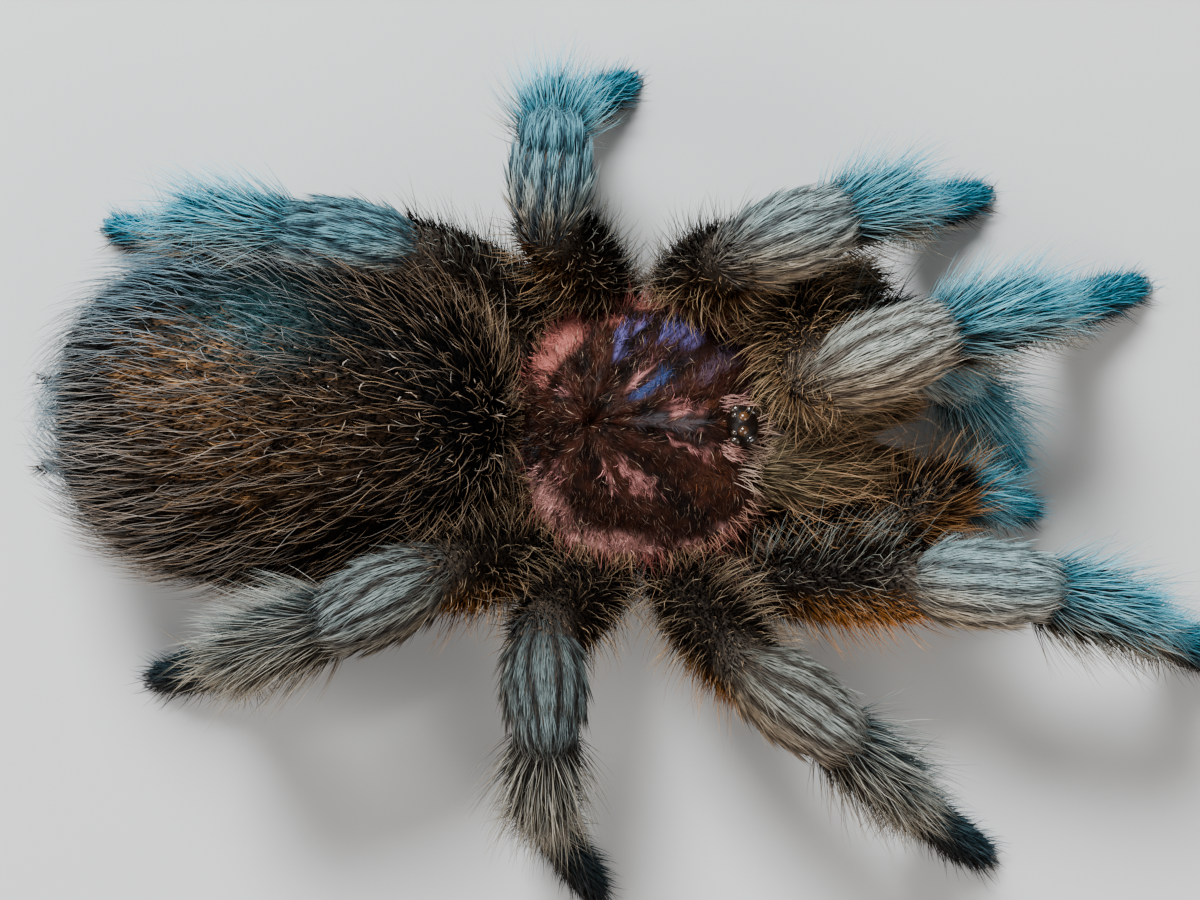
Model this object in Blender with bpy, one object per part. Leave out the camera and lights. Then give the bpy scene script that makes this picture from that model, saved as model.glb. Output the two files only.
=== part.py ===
"""Rose hair tarantula, adult female, standing still at life size.

Metres, +Z up, head towards +X, the animal's left towards +Y, feet on Z = 0.
Every solid reaches out to the tips of the hair that grows on it.
"""

import math

import bmesh
import bpy
from mathutils import Matrix, Vector

MM = 0.001
UP = Vector((0, 0, 1))
GAP = 0.3 * MM                    # air between neighbouring pieces
SIDES = 12                        # corners round a leg
THIN_SIDES = 10                   # and round its last two segments and the palps
SHARP = math.radians(50)          # edges turned more than this stay sharp

# Body, in millimetres; x = 0 is the middle of the carapace.
CARAPACE = {
    "length": 21.8, "width": 22.4, "under": 10.1, "rim": 1.0, "dome": 5.7,
    "fovea_x": -4.8, "fovea_depth": 1.1, "front_taper": 0.30, "squareness": 0.86,
    "head": 0.9, "head_spread": 0.55, "groove": 0.35, "grooves": 10, "around": 32,
}
EYES = {"x": 8.1, "length": 2.8, "width": 3.7, "height": 1.7, "z": 14.6}
ABDOMEN = {
    "front_x": -11.3, "length": 40.4, "width": 31.6, "top": 27.6, "bottom": 1.3,
    "rear_heavy": 0.10, "y": 0.3, "around": 24, "along": 13,
}
CHELICERA = {"x": 11.4, "length": 11.2, "y": 3.5, "z": 10.1, "droop": 1.6, "wide": 3.2, "tall": 4.5}
FANG = {"x": 21.2, "y": 3.0, "z": 4.5, "reach": 5.6, "sag": 1.9, "thick": 0.95, "tip": 0.3, "steps": 6}
STERNUM = {"front_x": 8.2, "rear_x": -10.9, "z": 7.4, "wide": 4.7, "tall": 2.3}
SPINNERET = {"x": -48.0, "y": 2.6, "z": 6.6, "length": 6.4, "splay": 14, "rise": 8, "thick": 1.15}

# Where each limb leaves the body: x, distance from the middle line, height.
HIPS = {1: (8.8, 12.9, 7.6), 2: (2.6, 12.8, 7.6), 3: (-3.2, 12.4, 7.6), 4: (-8.4, 10.6, 7.6)}
COXA = {"length": 7.6, "end": 2.6, "root": 1.9, "middle": 2.5, "tip": 2.3, "drop": 0.6}
PALP_HIP = (10.4, 6.9, 6.8)
PALP_COXA_LENGTH = 4.2
HIP_BALL = 2.0                    # the femur's round root reaches this far behind the hip

# A leg bends along its back: these are the depths of the back over the middle, hip to toe.
BACK = {"femur": 2.3, "patella": 2.7, "tibia": 2.6, "metatarsus": 2.2, "tarsus": 1.7, "toe": 1.2}
PAD_SINK = 0.5                    # how much of each foot's pad is pressed flat by the floor

# Segment lengths along the back.
LEG_LENGTHS = {
    1: {"femur": 15.6, "patella": 10.4, "tibia": 11.6, "metatarsus": 11.2, "tarsus": 8.2},
    2: {"femur": 14.4, "patella": 9.8, "tibia": 10.2, "metatarsus": 10.8, "tarsus": 8.0},
    3: {"femur": 12.8, "patella": 9.2, "tibia": 9.2, "metatarsus": 11.0, "tarsus": 8.0},
    4: {"femur": 15.2, "patella": 9.6, "tibia": 12.2, "metatarsus": 13.6, "tarsus": 8.4},
}
PALP_LENGTHS = {"femur": 11.6, "patella": 7.1, "tibia": 8.2, "tarsus": 7.6}

# Radius along each segment: (share of the length, radius).
LEG_GIRTH = {
    "hip": ((0, 1.1), (0.4, 1.9), (1, 2.3)),
    "femur": ((0, 2.3), (0.3, 3.9), (0.62, 4.9), (0.88, 4.8), (1, 4.1)),
    "patella": ((0, 3.8), (0.25, 4.4), (0.7, 4.5), (1, 4.1)),
    "tibia": ((0, 4.1), (0.25, 4.8), (0.6, 5.2), (0.88, 4.9), (1, 4.3)),
    "metatarsus": ((0, 4.2), (0.25, 3.9), (0.7, 3.1), (1, 2.6)),
    "tarsus": ((0, 2.6), (0.3, 2.7), (0.75, 2.5), (0.93, 2.0), (1, 1.2)),
}
STOUT_SEGMENTS = ("femur", "patella", "tibia")
LEG_STOUTNESS = {1: 1.0, 2: 0.97, 3: 0.95, 4: 0.98}
PALP_STOUTNESS = 0.74

# The stance. Yaw turns from +X towards +Y and pitch lifts from the floor, in degrees, for each
# segment from the hip outwards; the last one has no pitch, because its toe meets the floor.
# Swing is how far a hip has moved from its place, with the coxa stretched out after it.
STANCE = {
    "left_1": {"yaw": (-87, 9, 20, 22, 22), "pitch": (49, 0, -21, -67), "swing": (3.8, 1.1)},
    "left_2": {"yaw": (10, 20, 24, 23, 22), "pitch": (70, 4, -32, -81)},
    "left_3": {"yaw": (152, 96, 86, 58, 32), "pitch": (59, 30, -48, -84)},
    "left_4": {"yaw": (163, 174, 173, 169, 162), "pitch": (34, 21, -9, -88)},
    "right_1": {"yaw": (0, -4, -12, -13, -15), "pitch": (24, 26, -22, -65)},
    "right_2": {"yaw": (-53, -38, -37, -34, -32), "pitch": (45, 14, -30, -75)},
    "right_3": {"yaw": (-135, -93, -89, -74, -52), "pitch": (52, 16, -30, -86)},
    "right_4": {"yaw": (-164, -152, -163, -168, -173), "pitch": (50, 18, -17, -88)},
}
PALP_STANCE = {
    "left": {"yaw": (14, -36, -40, -48), "pitch": (18, 10, -54)},
    "right": {"yaw": (-8, 28, 2, -4), "pitch": (20, 14, -64)},
}

# Colour, roughness and metallic value of each kind of piece.
LOOKS = {
    "femur": ((0.045, 0.032, 0.024), 0.75, 0.0),
    "patella": ((0.42, 0.36, 0.28), 0.7, 0.0),
    "tibia": ((0.36, 0.33, 0.28), 0.7, 0.0),
    "metatarsus": ((0.30, 0.30, 0.29), 0.7, 0.0),
    "tarsus": ((0.22, 0.22, 0.22), 0.75, 0.0),
    "carapace": ((0.20, 0.06, 0.05), 0.45, 0.0),
    "sternum": ((0.06, 0.04, 0.035), 0.7, 0.0),
    "abdomen": ((0.07, 0.045, 0.03), 0.8, 0.0),
    "chelicera": ((0.16, 0.12, 0.075), 0.65, 0.0),
    "fang": ((0.01, 0.008, 0.008), 0.15, 0.0),
    "eyes": ((0.008, 0.006, 0.006), 0.08, 0.0),
    "spinneret": ((0.10, 0.07, 0.05), 0.7, 0.0),
}

# Pieces whose hair is pressed aside by a neighbour's: each one stands clear of those it names.
PRESSED = {
    "carapace": ("eyes",),
    "spinneret_left": ("abdomen",),
    "spinneret_right": ("abdomen",),
    "leg_left_1_femur": ("carapace", "chelicera_left", "coxa_left_1", "leg_left_2_femur"),
    "leg_left_2_femur": ("carapace", "coxa_left_1"),
    "leg_left_3_femur": ("carapace",),
    "leg_left_4_femur": ("abdomen", "leg_left_3_femur"),
    "leg_left_4_patella": ("abdomen",),
    "leg_left_4_tibia": ("abdomen",),
    "leg_left_4_metatarsus": ("abdomen",),
    "leg_right_4_femur": ("abdomen", "leg_right_3_femur"),
    "leg_right_4_patella": ("abdomen",),
    "leg_right_4_tibia": ("abdomen",),
    "palp_left_femur": ("chelicera_left", "coxa_left_1", "leg_left_1_femur"),
    "palp_left_patella": ("chelicera_left", "leg_left_1_tibia"),
    "palp_left_tibia": ("leg_left_1_tibia",),
    "palp_right_femur": ("chelicera_right", "coxa_right_1", "leg_right_1_femur"),
    "palp_right_patella": ("chelicera_right", "leg_right_1_femur", "leg_right_1_patella"),
}


def clear_scene():
    for thing in list(bpy.data.objects):
        bpy.data.objects.remove(thing, do_unlink=True)


def new_collection(name):
    collection = bpy.data.collections.new(name)
    bpy.context.scene.collection.children.link(collection)
    return collection


def material(kind):
    """The one material of a kind of piece, made the first time it is asked for."""
    if kind in bpy.data.materials:
        return bpy.data.materials[kind]
    colour, roughness, metallic = LOOKS[kind]
    made = bpy.data.materials.new(kind)
    made.use_nodes = True
    shader = made.node_tree.nodes["Principled BSDF"]
    shader.inputs["Base Color"].default_value = (*colour, 1)
    shader.inputs["Roughness"].default_value = roughness
    shader.inputs["Metallic"].default_value = metallic
    made.diffuse_color = (*colour, 1)
    return made


def heading(yaw, pitch):
    """Unit vector turned by yaw from +X towards +Y and lifted by pitch."""
    flat = math.cos(math.radians(pitch))
    turn = math.radians(yaw)
    return Vector((flat * math.cos(turn), flat * math.sin(turn), math.sin(math.radians(pitch))))


def frame_along(axis):
    """Rotation whose X runs along the axis and whose Y stays level."""
    level = UP.cross(axis).normalized()
    return Matrix((axis, level, axis.cross(level))).transposed()


def ring(bm, centre, axis, normal, wide, tall, sides):
    """Ellipse round the axis, slid along it until it lies in the plane across the normal."""
    turn = frame_along(axis)
    level, top = turn.col[1], turn.col[2]
    corners = []
    for k in range(sides):
        angle = math.tau * (k + 0.5) / sides
        out = level * (wide * math.cos(angle)) + top * (tall * math.sin(angle))
        lean = out.dot(normal) / axis.dot(normal)
        corners.append(bm.verts.new(centre + out - axis * lean))
    return corners


def skin_rings(bm, rings):
    """Walls from each ring to the next, and a flat face on both ends."""
    sides = len(rings[0])
    for low, high in zip(rings, rings[1:]):
        for k in range(sides):
            after = (k + 1) % sides
            bm.faces.new((low[k], low[after], high[after], high[k]))
    bm.faces.new(list(reversed(rings[0])))
    bm.faces.new(rings[-1])


def joint_normals(points, first=None, last=None):
    """Plane of each joint along a path: square to it at a free end, halfway between two spans."""
    spans = [(b - a).normalized() for a, b in zip(points, points[1:])]
    inner = [(a + b).normalized() for a, b in zip(spans, spans[1:])]
    return [first or spans[0], *inner, last or spans[-1]]


def loft_spans(bm, points, normals, profiles, sides, squash=1.0, trim=(0.0, 0.0)):
    """A limb along the points, one radius profile for each span, leaning from joint to joint.

    squash is height over width; trim draws each end back from its joint plane.
    """
    rings = []
    for index, profile in enumerate(profiles):
        start, end = points[index], points[index + 1]
        axis = (end - start).normalized()
        if index == 0:
            start = start + axis * (trim[0] / axis.dot(normals[0]))
        if index == len(profiles) - 1:
            end = end - axis * (trim[1] / axis.dot(normals[-1]))
        for share, radius in profile if index == 0 else profile[1:]:
            normal = normals[index].lerp(normals[index + 1], share)
            centre = start.lerp(end, share)
            rings.append(ring(bm, centre, axis, normal, radius * MM, radius * squash * MM, sides))
    skin_rings(bm, rings)


def add_piece(name, kind, bm, origin=None, turn=None, root=None, collection=None):
    """Object from a mesh made in place: its origin and X axis are put on the joint given."""
    place = Matrix.Translation(origin or Vector()) @ (turn or Matrix.Identity(3)).to_4x4()
    bmesh.ops.transform(bm, matrix=place.inverted(), verts=bm.verts)
    bmesh.ops.recalc_face_normals(bm, faces=bm.faces)
    mesh = bpy.data.meshes.new(name)
    bm.to_mesh(mesh)
    bm.free()
    mesh.shade_smooth()
    mesh.set_sharp_from_angle(angle=SHARP)
    mesh.materials.append(material(kind))
    piece = bpy.data.objects.new(name, mesh)
    piece.location = place.to_translation()
    piece.rotation_euler = place.to_euler()
    piece.parent = root
    collection.objects.link(piece)
    return piece


def hide_cutter(piece):
    piece.hide_render = True
    piece.display_type = "WIRE"


def stand_on_floor(bm):
    """Cuts off what is below the floor, leaving a small flat."""
    geometry = bm.verts[:] + bm.edges[:] + bm.faces[:]
    cut = bmesh.ops.bisect_plane(bm, geom=geometry, plane_co=(0, 0, 0), plane_no=(0, 0, 1),
                                 clear_inner=True)
    rim = [item for item in cut["geom_cut"] if isinstance(item, bmesh.types.BMEdge)]
    if rim:
        bmesh.ops.contextual_create(bm, geom=rim)


def floor_pitch(back_height, length, depths, stoutness):
    """Slope, in degrees, at which the lowest point of the last segment's pad is PAD_SINK down."""
    for half_degrees in range(-10, 180):
        slope = math.radians(-half_degrees / 2)
        lowest = min(
            back_height + share * length * math.sin(slope)
            - (depths[0] + (depths[1] - depths[0]) * share + radius * stoutness * MM) * math.cos(slope)
            for share, radius in LEG_GIRTH["tarsus"])
        if lowest < -PAD_SINK * MM:
            return math.degrees(slope)
    raise ValueError("this limb is too short to reach the floor")


def limb_joints(hip, lengths, stance, stoutness):
    """Middle of each joint from the hip to the toe.

    The segments' backs are laid end to end and every joint's middle lies its depth below the
    back, halfway between the two segments; the last slope is found from the floor.
    """
    depths = [BACK[segment] * stoutness * MM for segment in (*lengths, "toe")]
    pitches = list(stance["pitch"])
    back = hip
    runs, lifts, backs = [], [], []
    for length, yaw in zip(lengths.values(), stance["yaw"]):
        if pitches:
            pitch = pitches.pop(0)
        else:
            pitch = floor_pitch(back.z, length * MM, depths[-2:], stoutness)
        runs.append(heading(yaw, pitch))
        lifts.append(heading(yaw, pitch + 90))
        if not backs:
            back = hip + lifts[0] * depths[0]
        back = back + runs[-1] * (length * MM)
        backs.append(back)
    joints = [hip]
    for index, (before, after) in enumerate(zip(runs, runs[1:])):
        through = (before + after).normalized()
        across = lifts[index] + lifts[index + 1]
        across = (across - through * across.dot(through)).normalized()
        joints.append(backs[index] - across * (depths[index + 1] / before.dot(through)))
    joints.append(backs[-1] - lifts[-1] * depths[-1])
    return joints


def make_limb(prefix, hip, lengths, stance, stoutness, root, collection):
    """One object for each segment, from the femur's round root to the toe's flat."""
    joints = limb_joints(hip, lengths, stance, stoutness)
    normals = joint_normals(joints)
    for index, segment in enumerate(lengths):
        points = joints[index:index + 2]
        planes = normals[index:index + 2]
        girths = [segment]
        trim = [GAP / 2, GAP / 2]
        axis = (points[1] - points[0]).normalized()
        if segment == "femur":
            points = [hip - axis * (HIP_BALL * stoutness * MM), *points]
            planes = [axis, *planes]
            girths = ["hip", "femur"]
        profiles = [[(share, radius * stoutness) for share, radius in LEG_GIRTH[girth]]
                    for girth in girths]
        sides = SIDES if segment in STOUT_SEGMENTS and prefix.startswith("leg") else THIN_SIDES
        bm = bmesh.new()
        loft_spans(bm, points, planes, profiles, sides, trim=trim)
        if segment == "tarsus":
            stand_on_floor(bm)
        add_piece(f"{prefix}_{segment}", segment, bm, joints[index], frame_along(axis), root,
                  collection)


def add_coxa(name, hip, inward, length, stoutness, root, cutters):
    """The stub that carries a limb: it is fused to the sternum and stops short of the hip."""
    end = hip + inward * (COXA["end"] * stoutness * MM)
    start = end + inward * (length * MM) - UP * (COXA["drop"] * MM)
    profile = [(0, COXA["root"]), (0.5, COXA["middle"]), (1, COXA["tip"])]
    profile = [(share, radius * stoutness) for share, radius in profile]
    bm = bmesh.new()
    loft_spans(bm, [start, end], joint_normals([start, end]), [profile], SIDES)
    coxa = add_piece(f"coxa_{name}", "sternum", bm, start, None, root, cutters)
    hide_cutter(coxa)
    join = bpy.data.objects["sternum"].modifiers.new(coxa.name, "BOOLEAN")
    join.operation = "UNION"
    join.solver = "EXACT"
    join.object = coxa


def make_legs(root, collection, cutters):
    for name, stance in STANCE.items():
        side_name, number = name.split("_")
        side = 1 if side_name == "left" else -1
        stoutness = LEG_STOUTNESS[int(number)]
        forward, outward = stance.get("swing", (0, 0))
        x, y, z = HIPS[int(number)]
        x, y = x + forward, y + outward
        hip = Vector((x, side * y, z)) * MM
        make_limb(f"leg_{name}", hip, LEG_LENGTHS[int(number)], stance, stoutness, root, collection)
        inward = Vector((-x * 0.75, -side * y, 0)).normalized()
        length = COXA["length"] + math.hypot(forward, outward)
        add_coxa(name, hip, inward, length, stoutness, root, cutters)


def make_palps(root, collection, cutters):
    for name, stance in PALP_STANCE.items():
        side = 1 if name == "left" else -1
        hip = Vector((PALP_HIP[0], side * PALP_HIP[1], PALP_HIP[2])) * MM
        make_limb(f"palp_{name}", hip, PALP_LENGTHS, stance, PALP_STOUTNESS, root, collection)
        inward = Vector((-0.75, -side * 0.65, 0)).normalized()
        add_coxa(f"palp_{name}", hip, inward, PALP_COXA_LENGTH, PALP_STOUTNESS, root, cutters)


def carapace_rim(angle):
    """Edge of the carapace seen from above: a squared oval that narrows towards the jaws."""
    size = CARAPACE
    across, along = math.sin(angle), math.cos(angle)
    x = size["length"] / 2 * math.copysign(abs(along) ** size["squareness"], along)
    y = size["width"] / 2 * math.copysign(abs(across) ** size["squareness"], across)
    front = max(0.0, 2 * x / size["length"])
    return x, y * (1 - size["front_taper"] * front ** 1.6)


def carapace_height(share, angle):
    """Height of the dome above the rim: a round cap, a raised head and grooves from the fovea."""
    size = CARAPACE
    turned = math.remainder(angle, math.tau)
    cap = size["dome"] * (1 - share ** 2.6)
    head = size["head"] * math.exp(-(turned / size["head_spread"]) ** 2) * share * (1 - share ** 6)
    grooves = size["groove"] * math.cos(angle * size["grooves"]) * math.sin(math.pi * share)
    pit = size["fovea_depth"] * math.exp(-(share / 0.09) ** 2)
    return cap + head + grooves - pit


def make_carapace(root, collection):
    """Rings of points that close in on the fovea, over a flat underside."""
    size = CARAPACE
    bm = bmesh.new()
    fovea = Vector((size["fovea_x"], 0, 0))
    rings = []
    for share, on_top in ((0.97, False), (1.0, True), (0.93, True), (0.8, True), (0.6, True),
                          (0.38, True), (0.18, True), (0.06, True)):
        corners = []
        for k in range(size["around"]):
            angle = math.tau * k / size["around"]
            rim = Vector((*carapace_rim(angle), 0))
            point = fovea.lerp(rim, share)
            point.z = size["under"]
            if on_top:
                point.z += size["rim"] + carapace_height(share, angle)
            corners.append(bm.verts.new(point * MM))
        rings.append(corners)
    skin_rings(bm, rings)
    add_piece("carapace", "carapace", bm, Vector((0, 0, size["under"] * MM)), None, root, collection)


def make_eyes(root, collection):
    """The low oval mound that carries all eight eyes."""
    size = EYES
    place = Vector((size["x"], 0, size["z"])) * MM
    bm = bmesh.new()
    bmesh.ops.create_uvsphere(bm, u_segments=16, v_segments=10, radius=1.0)
    scale = Vector((size["length"] / 2, size["width"] / 2, size["height"])) * MM
    bmesh.ops.scale(bm, vec=scale, verts=bm.verts)
    bmesh.ops.translate(bm, vec=place, verts=bm.verts)
    add_piece("eyes", "eyes", bm, place, None, root, collection)


def make_abdomen(root, collection):
    """An egg lying along X, fuller behind, its sphere's poles at the waist and at the tail."""
    size = ABDOMEN
    half = Vector((size["length"] / 2, size["width"] / 2, (size["top"] - size["bottom"]) / 2))
    centre = Vector((size["front_x"] - half.x, size["y"], (size["top"] + size["bottom"]) / 2))
    bm = bmesh.new()
    bmesh.ops.create_uvsphere(bm, u_segments=size["around"], v_segments=size["along"], radius=1.0,
                              matrix=Matrix.Rotation(math.pi / 2, 4, "Y"))
    for vert in bm.verts:
        x, y, z = vert.co
        fuller = 1 - size["rear_heavy"] * x * (1 - abs(x))
        blunt = (1 - x * x) ** -0.06 if abs(x) < 0.999 else 1.0
        vert.co = Vector((x * half.x, y * half.y * fuller * blunt, z * half.z * fuller * blunt))
        vert.co = (vert.co + centre) * MM
    add_piece("abdomen", "abdomen", bm, centre * MM, None, root, collection)


def make_sternum(root, collection):
    """The breast between the coxae, with the lip in front and the waist behind."""
    size = STERNUM
    shares = ((0, 0.22), (0.10, 0.5), (0.25, 0.8), (0.5, 1), (0.72, 0.92), (0.85, 0.5), (1, 0.3))
    bm = bmesh.new()
    front = Vector((size["front_x"], 0, size["z"])) * MM
    rear = Vector((size["rear_x"], 0, size["z"] + 0.4)) * MM
    profile = [(share, radius * size["wide"]) for share, radius in shares]
    normals = joint_normals([front, rear])
    loft_spans(bm, [front, rear], normals, [profile], SIDES, squash=size["tall"] / size["wide"])
    add_piece("sternum", "sternum", bm, front, None, root, collection)


def make_jaws(root, collection):
    """Two chelicerae side by side, each with a fang folded back beneath it."""
    size, hook = CHELICERA, FANG
    shares = ((0, 0.72), (0.07, 0.9), (0.25, 1), (0.55, 0.98), (0.8, 0.82), (0.93, 0.6), (1, 0.32))
    for name, side in (("left", 1), ("right", -1)):
        bm = bmesh.new()
        base = Vector((size["x"], side * size["y"], size["z"])) * MM
        tip = base + Vector((size["length"], -side * 0.3, -size["droop"])) * MM
        profile = [(share, radius * size["wide"]) for share, radius in shares]
        loft_spans(bm, [base, tip], joint_normals([base, tip]), [profile], 14,
                   squash=size["tall"] / size["wide"])
        add_piece(f"chelicera_{name}", "chelicera", bm, base, None, root, collection)

        points = []
        for k in range(hook["steps"] + 1):
            share = k / hook["steps"]
            x = hook["x"] + 0.6 - hook["reach"] * share
            z = hook["z"] - hook["sag"] * math.sin(math.pi * min(1.0, share * 1.15 + 0.05))
            points.append(Vector((x, side * hook["y"], z)) * MM)
        profiles = []
        for k in range(hook["steps"]):
            ends = [hook["thick"] + (hook["tip"] - hook["thick"]) * (k + end) / hook["steps"]
                    for end in (0, 1)]
            profiles.append([(0, ends[0]), (1, ends[1])])
        bm = bmesh.new()
        loft_spans(bm, points, joint_normals(points), profiles, 8)
        add_piece(f"fang_{name}", "fang", bm, points[0], None, root, collection)


def make_spinnerets(root, collection):
    """The long rear pair, three short joints each, below the tail."""
    size = SPINNERET
    for name, side in (("left", 1), ("right", -1)):
        start = Vector((size["x"], side * size["y"], size["z"])) * MM
        end = start + heading(180 - side * size["splay"], size["rise"]) * (size["length"] * MM)
        profile = [(0, 0.7), (0.08, 1.0), (0.38, 0.95), (0.42, 0.8), (0.7, 0.75), (0.74, 0.6),
                   (0.94, 0.45), (1, 0.25)]
        profile = [(share, radius * size["thick"]) for share, radius in profile]
        bm = bmesh.new()
        loft_spans(bm, [start, end], joint_normals([start, end]), [profile], 10)
        add_piece(f"spinneret_{name}", "spinneret", bm, start, None, root, collection)


def press_aside(cutters):
    """Each pressed piece loses what reaches within the gap of the neighbours it names."""
    for name, neighbours in PRESSED.items():
        for neighbour in neighbours:
            source = bpy.data.objects[neighbour]
            cutter = bpy.data.objects.new(f"cutter_{name}_{neighbour}", source.data)
            cutter.parent = source.parent
            cutter.location = source.location
            cutter.rotation_euler = source.rotation_euler
            cutters.objects.link(cutter)
            hide_cutter(cutter)
            swell = cutter.modifiers.new("swell", "DISPLACE")
            swell.strength = GAP
            swell.mid_level = 0
            cut = bpy.data.objects[name].modifiers.new(f"clear_of_{neighbour}", "BOOLEAN")
            cut.operation = "DIFFERENCE"
            cut.solver = "EXACT"
            cut.object = cutter


def centre_on_floor(root, collection):
    """Moves the root so that the whole animal's box is centred over the origin."""
    bpy.context.view_layer.update()
    corners = [piece.matrix_world @ vert.co
               for piece in collection.objects if piece.type == "MESH"
               for vert in piece.data.vertices]
    for axis in range(2):
        values = [corner[axis] for corner in corners]
        root.location[axis] -= (min(values) + max(values)) / 2


def main():
    clear_scene()
    collection = new_collection("tarantula")
    cutters = new_collection("cutters")
    root = bpy.data.objects.new("tarantula_root", None)
    collection.objects.link(root)
    make_carapace(root, collection)
    make_eyes(root, collection)
    make_sternum(root, collection)
    make_abdomen(root, collection)
    make_jaws(root, collection)
    make_spinnerets(root, collection)
    make_legs(root, collection, cutters)
    make_palps(root, collection, cutters)
    press_aside(cutters)
    centre_on_floor(root, collection)


main()
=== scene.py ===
import math

import bpy
import numpy as np
from mathutils import Matrix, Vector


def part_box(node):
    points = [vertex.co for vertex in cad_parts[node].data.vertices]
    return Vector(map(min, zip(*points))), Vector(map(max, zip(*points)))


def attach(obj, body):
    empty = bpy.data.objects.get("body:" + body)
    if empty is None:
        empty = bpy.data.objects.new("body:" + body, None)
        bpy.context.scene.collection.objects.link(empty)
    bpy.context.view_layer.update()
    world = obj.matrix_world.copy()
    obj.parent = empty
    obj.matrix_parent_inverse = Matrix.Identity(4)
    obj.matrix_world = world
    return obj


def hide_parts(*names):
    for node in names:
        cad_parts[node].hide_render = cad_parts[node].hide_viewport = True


# A rose hair tarantula at life size. Skin, shell, eyes and fangs are surfaces of two parameters,
# u from root to tip and v once round, and every hair is a tapered blade rooted on the same
# surfaces. Lengths are millimetres about the middle of the carapace; newMesh puts them in the frame.

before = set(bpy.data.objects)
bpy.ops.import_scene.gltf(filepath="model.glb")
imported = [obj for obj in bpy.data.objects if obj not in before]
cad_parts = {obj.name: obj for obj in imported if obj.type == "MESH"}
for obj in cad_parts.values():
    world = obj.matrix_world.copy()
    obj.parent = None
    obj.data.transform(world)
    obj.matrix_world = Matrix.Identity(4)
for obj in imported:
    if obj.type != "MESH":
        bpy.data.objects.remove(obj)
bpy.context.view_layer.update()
mm = 0.001
shellLow, shellHigh = (np.array(corner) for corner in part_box("carapace"))
middle = (shellLow + shellHigh) / 2 * (1, 1, 0)
up = np.array((0.0, 0.0, 1.0))
sides = {"left": 1, "right": -1}
print("frame loaded")


# Materials are written as expressions: a constant sits on its socket, and a Wire carries what varies.

class Wire:  # one socket of a material, with the operators its sums use
    def __init__(self, paint, socket):
        self.paint = paint
        self.socket = socket

    def maths(self, operation, first, second, clamp=False):
        settings = {"operation": operation, "use_clamp": clamp}
        return self.paint.add("ShaderNodeMath", settings, {0: first, 1: second})

    def __add__(self, other):
        return self.maths("ADD", self, other)

    def __sub__(self, other):
        return self.maths("SUBTRACT", self, other)

    def __rsub__(self, other):
        return self.maths("SUBTRACT", other, self)

    def __mul__(self, other):
        return self.maths("MULTIPLY", self, other)

    def clamped(self):
        return self.maths("ADD", self, 0.0, True)

    __radd__ = __add__
    __rmul__ = __mul__


class Paint:  # one Principled material; constants go on its own sockets, maths goes in by wires
    def __init__(self, name, **finish):
        self.material = bpy.data.materials.new(name)
        self.material.use_nodes = True
        self.tree = self.material.node_tree
        self.shader = self.tree.nodes["Principled BSDF"]
        for socket, value in finish.items():
            self.shader.inputs[socket.replace("_", " ")].default_value = value

    def add(self, kind, settings=None, sockets=None, out=0):
        node = self.tree.nodes.new(kind)
        for key, value in (settings or {}).items():
            setattr(node, key, value)
        for key, value in (sockets or {}).items():
            if isinstance(value, Wire):
                self.tree.links.new(value.socket, node.inputs[key])
            else:
                node.inputs[key].default_value = value
        return Wire(self, node.outputs[out])

    def blend(self, share, first, second, kind="MIX"):
        first, second = (c if isinstance(c, Wire) else (*c, 1) for c in (first, second))
        settings = {"data_type": "RGBA", "blend_type": kind}
        return self.add("ShaderNodeMix", settings, {0: share, 6: first, 7: second}, 2)

    def attribute(self, name, out="Fac"):
        return self.add("ShaderNodeAttribute", {"attribute_name": name}, out=out)

    def noise(self, scale, detail=2.0, where=None):
        where = where or self.add("ShaderNodeTexCoord", out="Object")
        return self.add("ShaderNodeTexNoise", None, {"Vector": where, "Scale": scale, "Detail": detail})

    def shaded(self, colour, value):  # a colour times a number
        grey = self.add("ShaderNodeCombineColor", None, {0: value, 1: value, 2: value})
        return self.blend(1.0, colour, grey, "MULTIPLY")

    def feed(self, **sockets):
        for name, wire in sockets.items():
            self.tree.links.new(wire.socket, self.shader.inputs[name.replace("_", " ")])
        return self

    def bump(self, height, strength, distance):
        sockets = {"Height": height, "Strength": strength, "Distance": distance}
        return self.feed(Normal=self.add("ShaderNodeBump", None, sockets))


# Objects, and meshes from arrays of points and faces.

def placed(name, data, matrix=None):
    # An object that shows data, at the origin or at a matrix, in the scene.
    thing = bpy.data.objects.new(name, data)
    bpy.context.scene.collection.objects.link(thing)
    if matrix is not None:
        thing.matrix_world = matrix
    return thing


def standing(place, rightward, upward, backward):
    # The matrix of a thing at place, in metres, turned to three axes.
    turn = Matrix(np.column_stack([rightward, upward, backward]).tolist()).to_4x4()
    return Matrix.Translation(tuple(place)) @ turn


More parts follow.
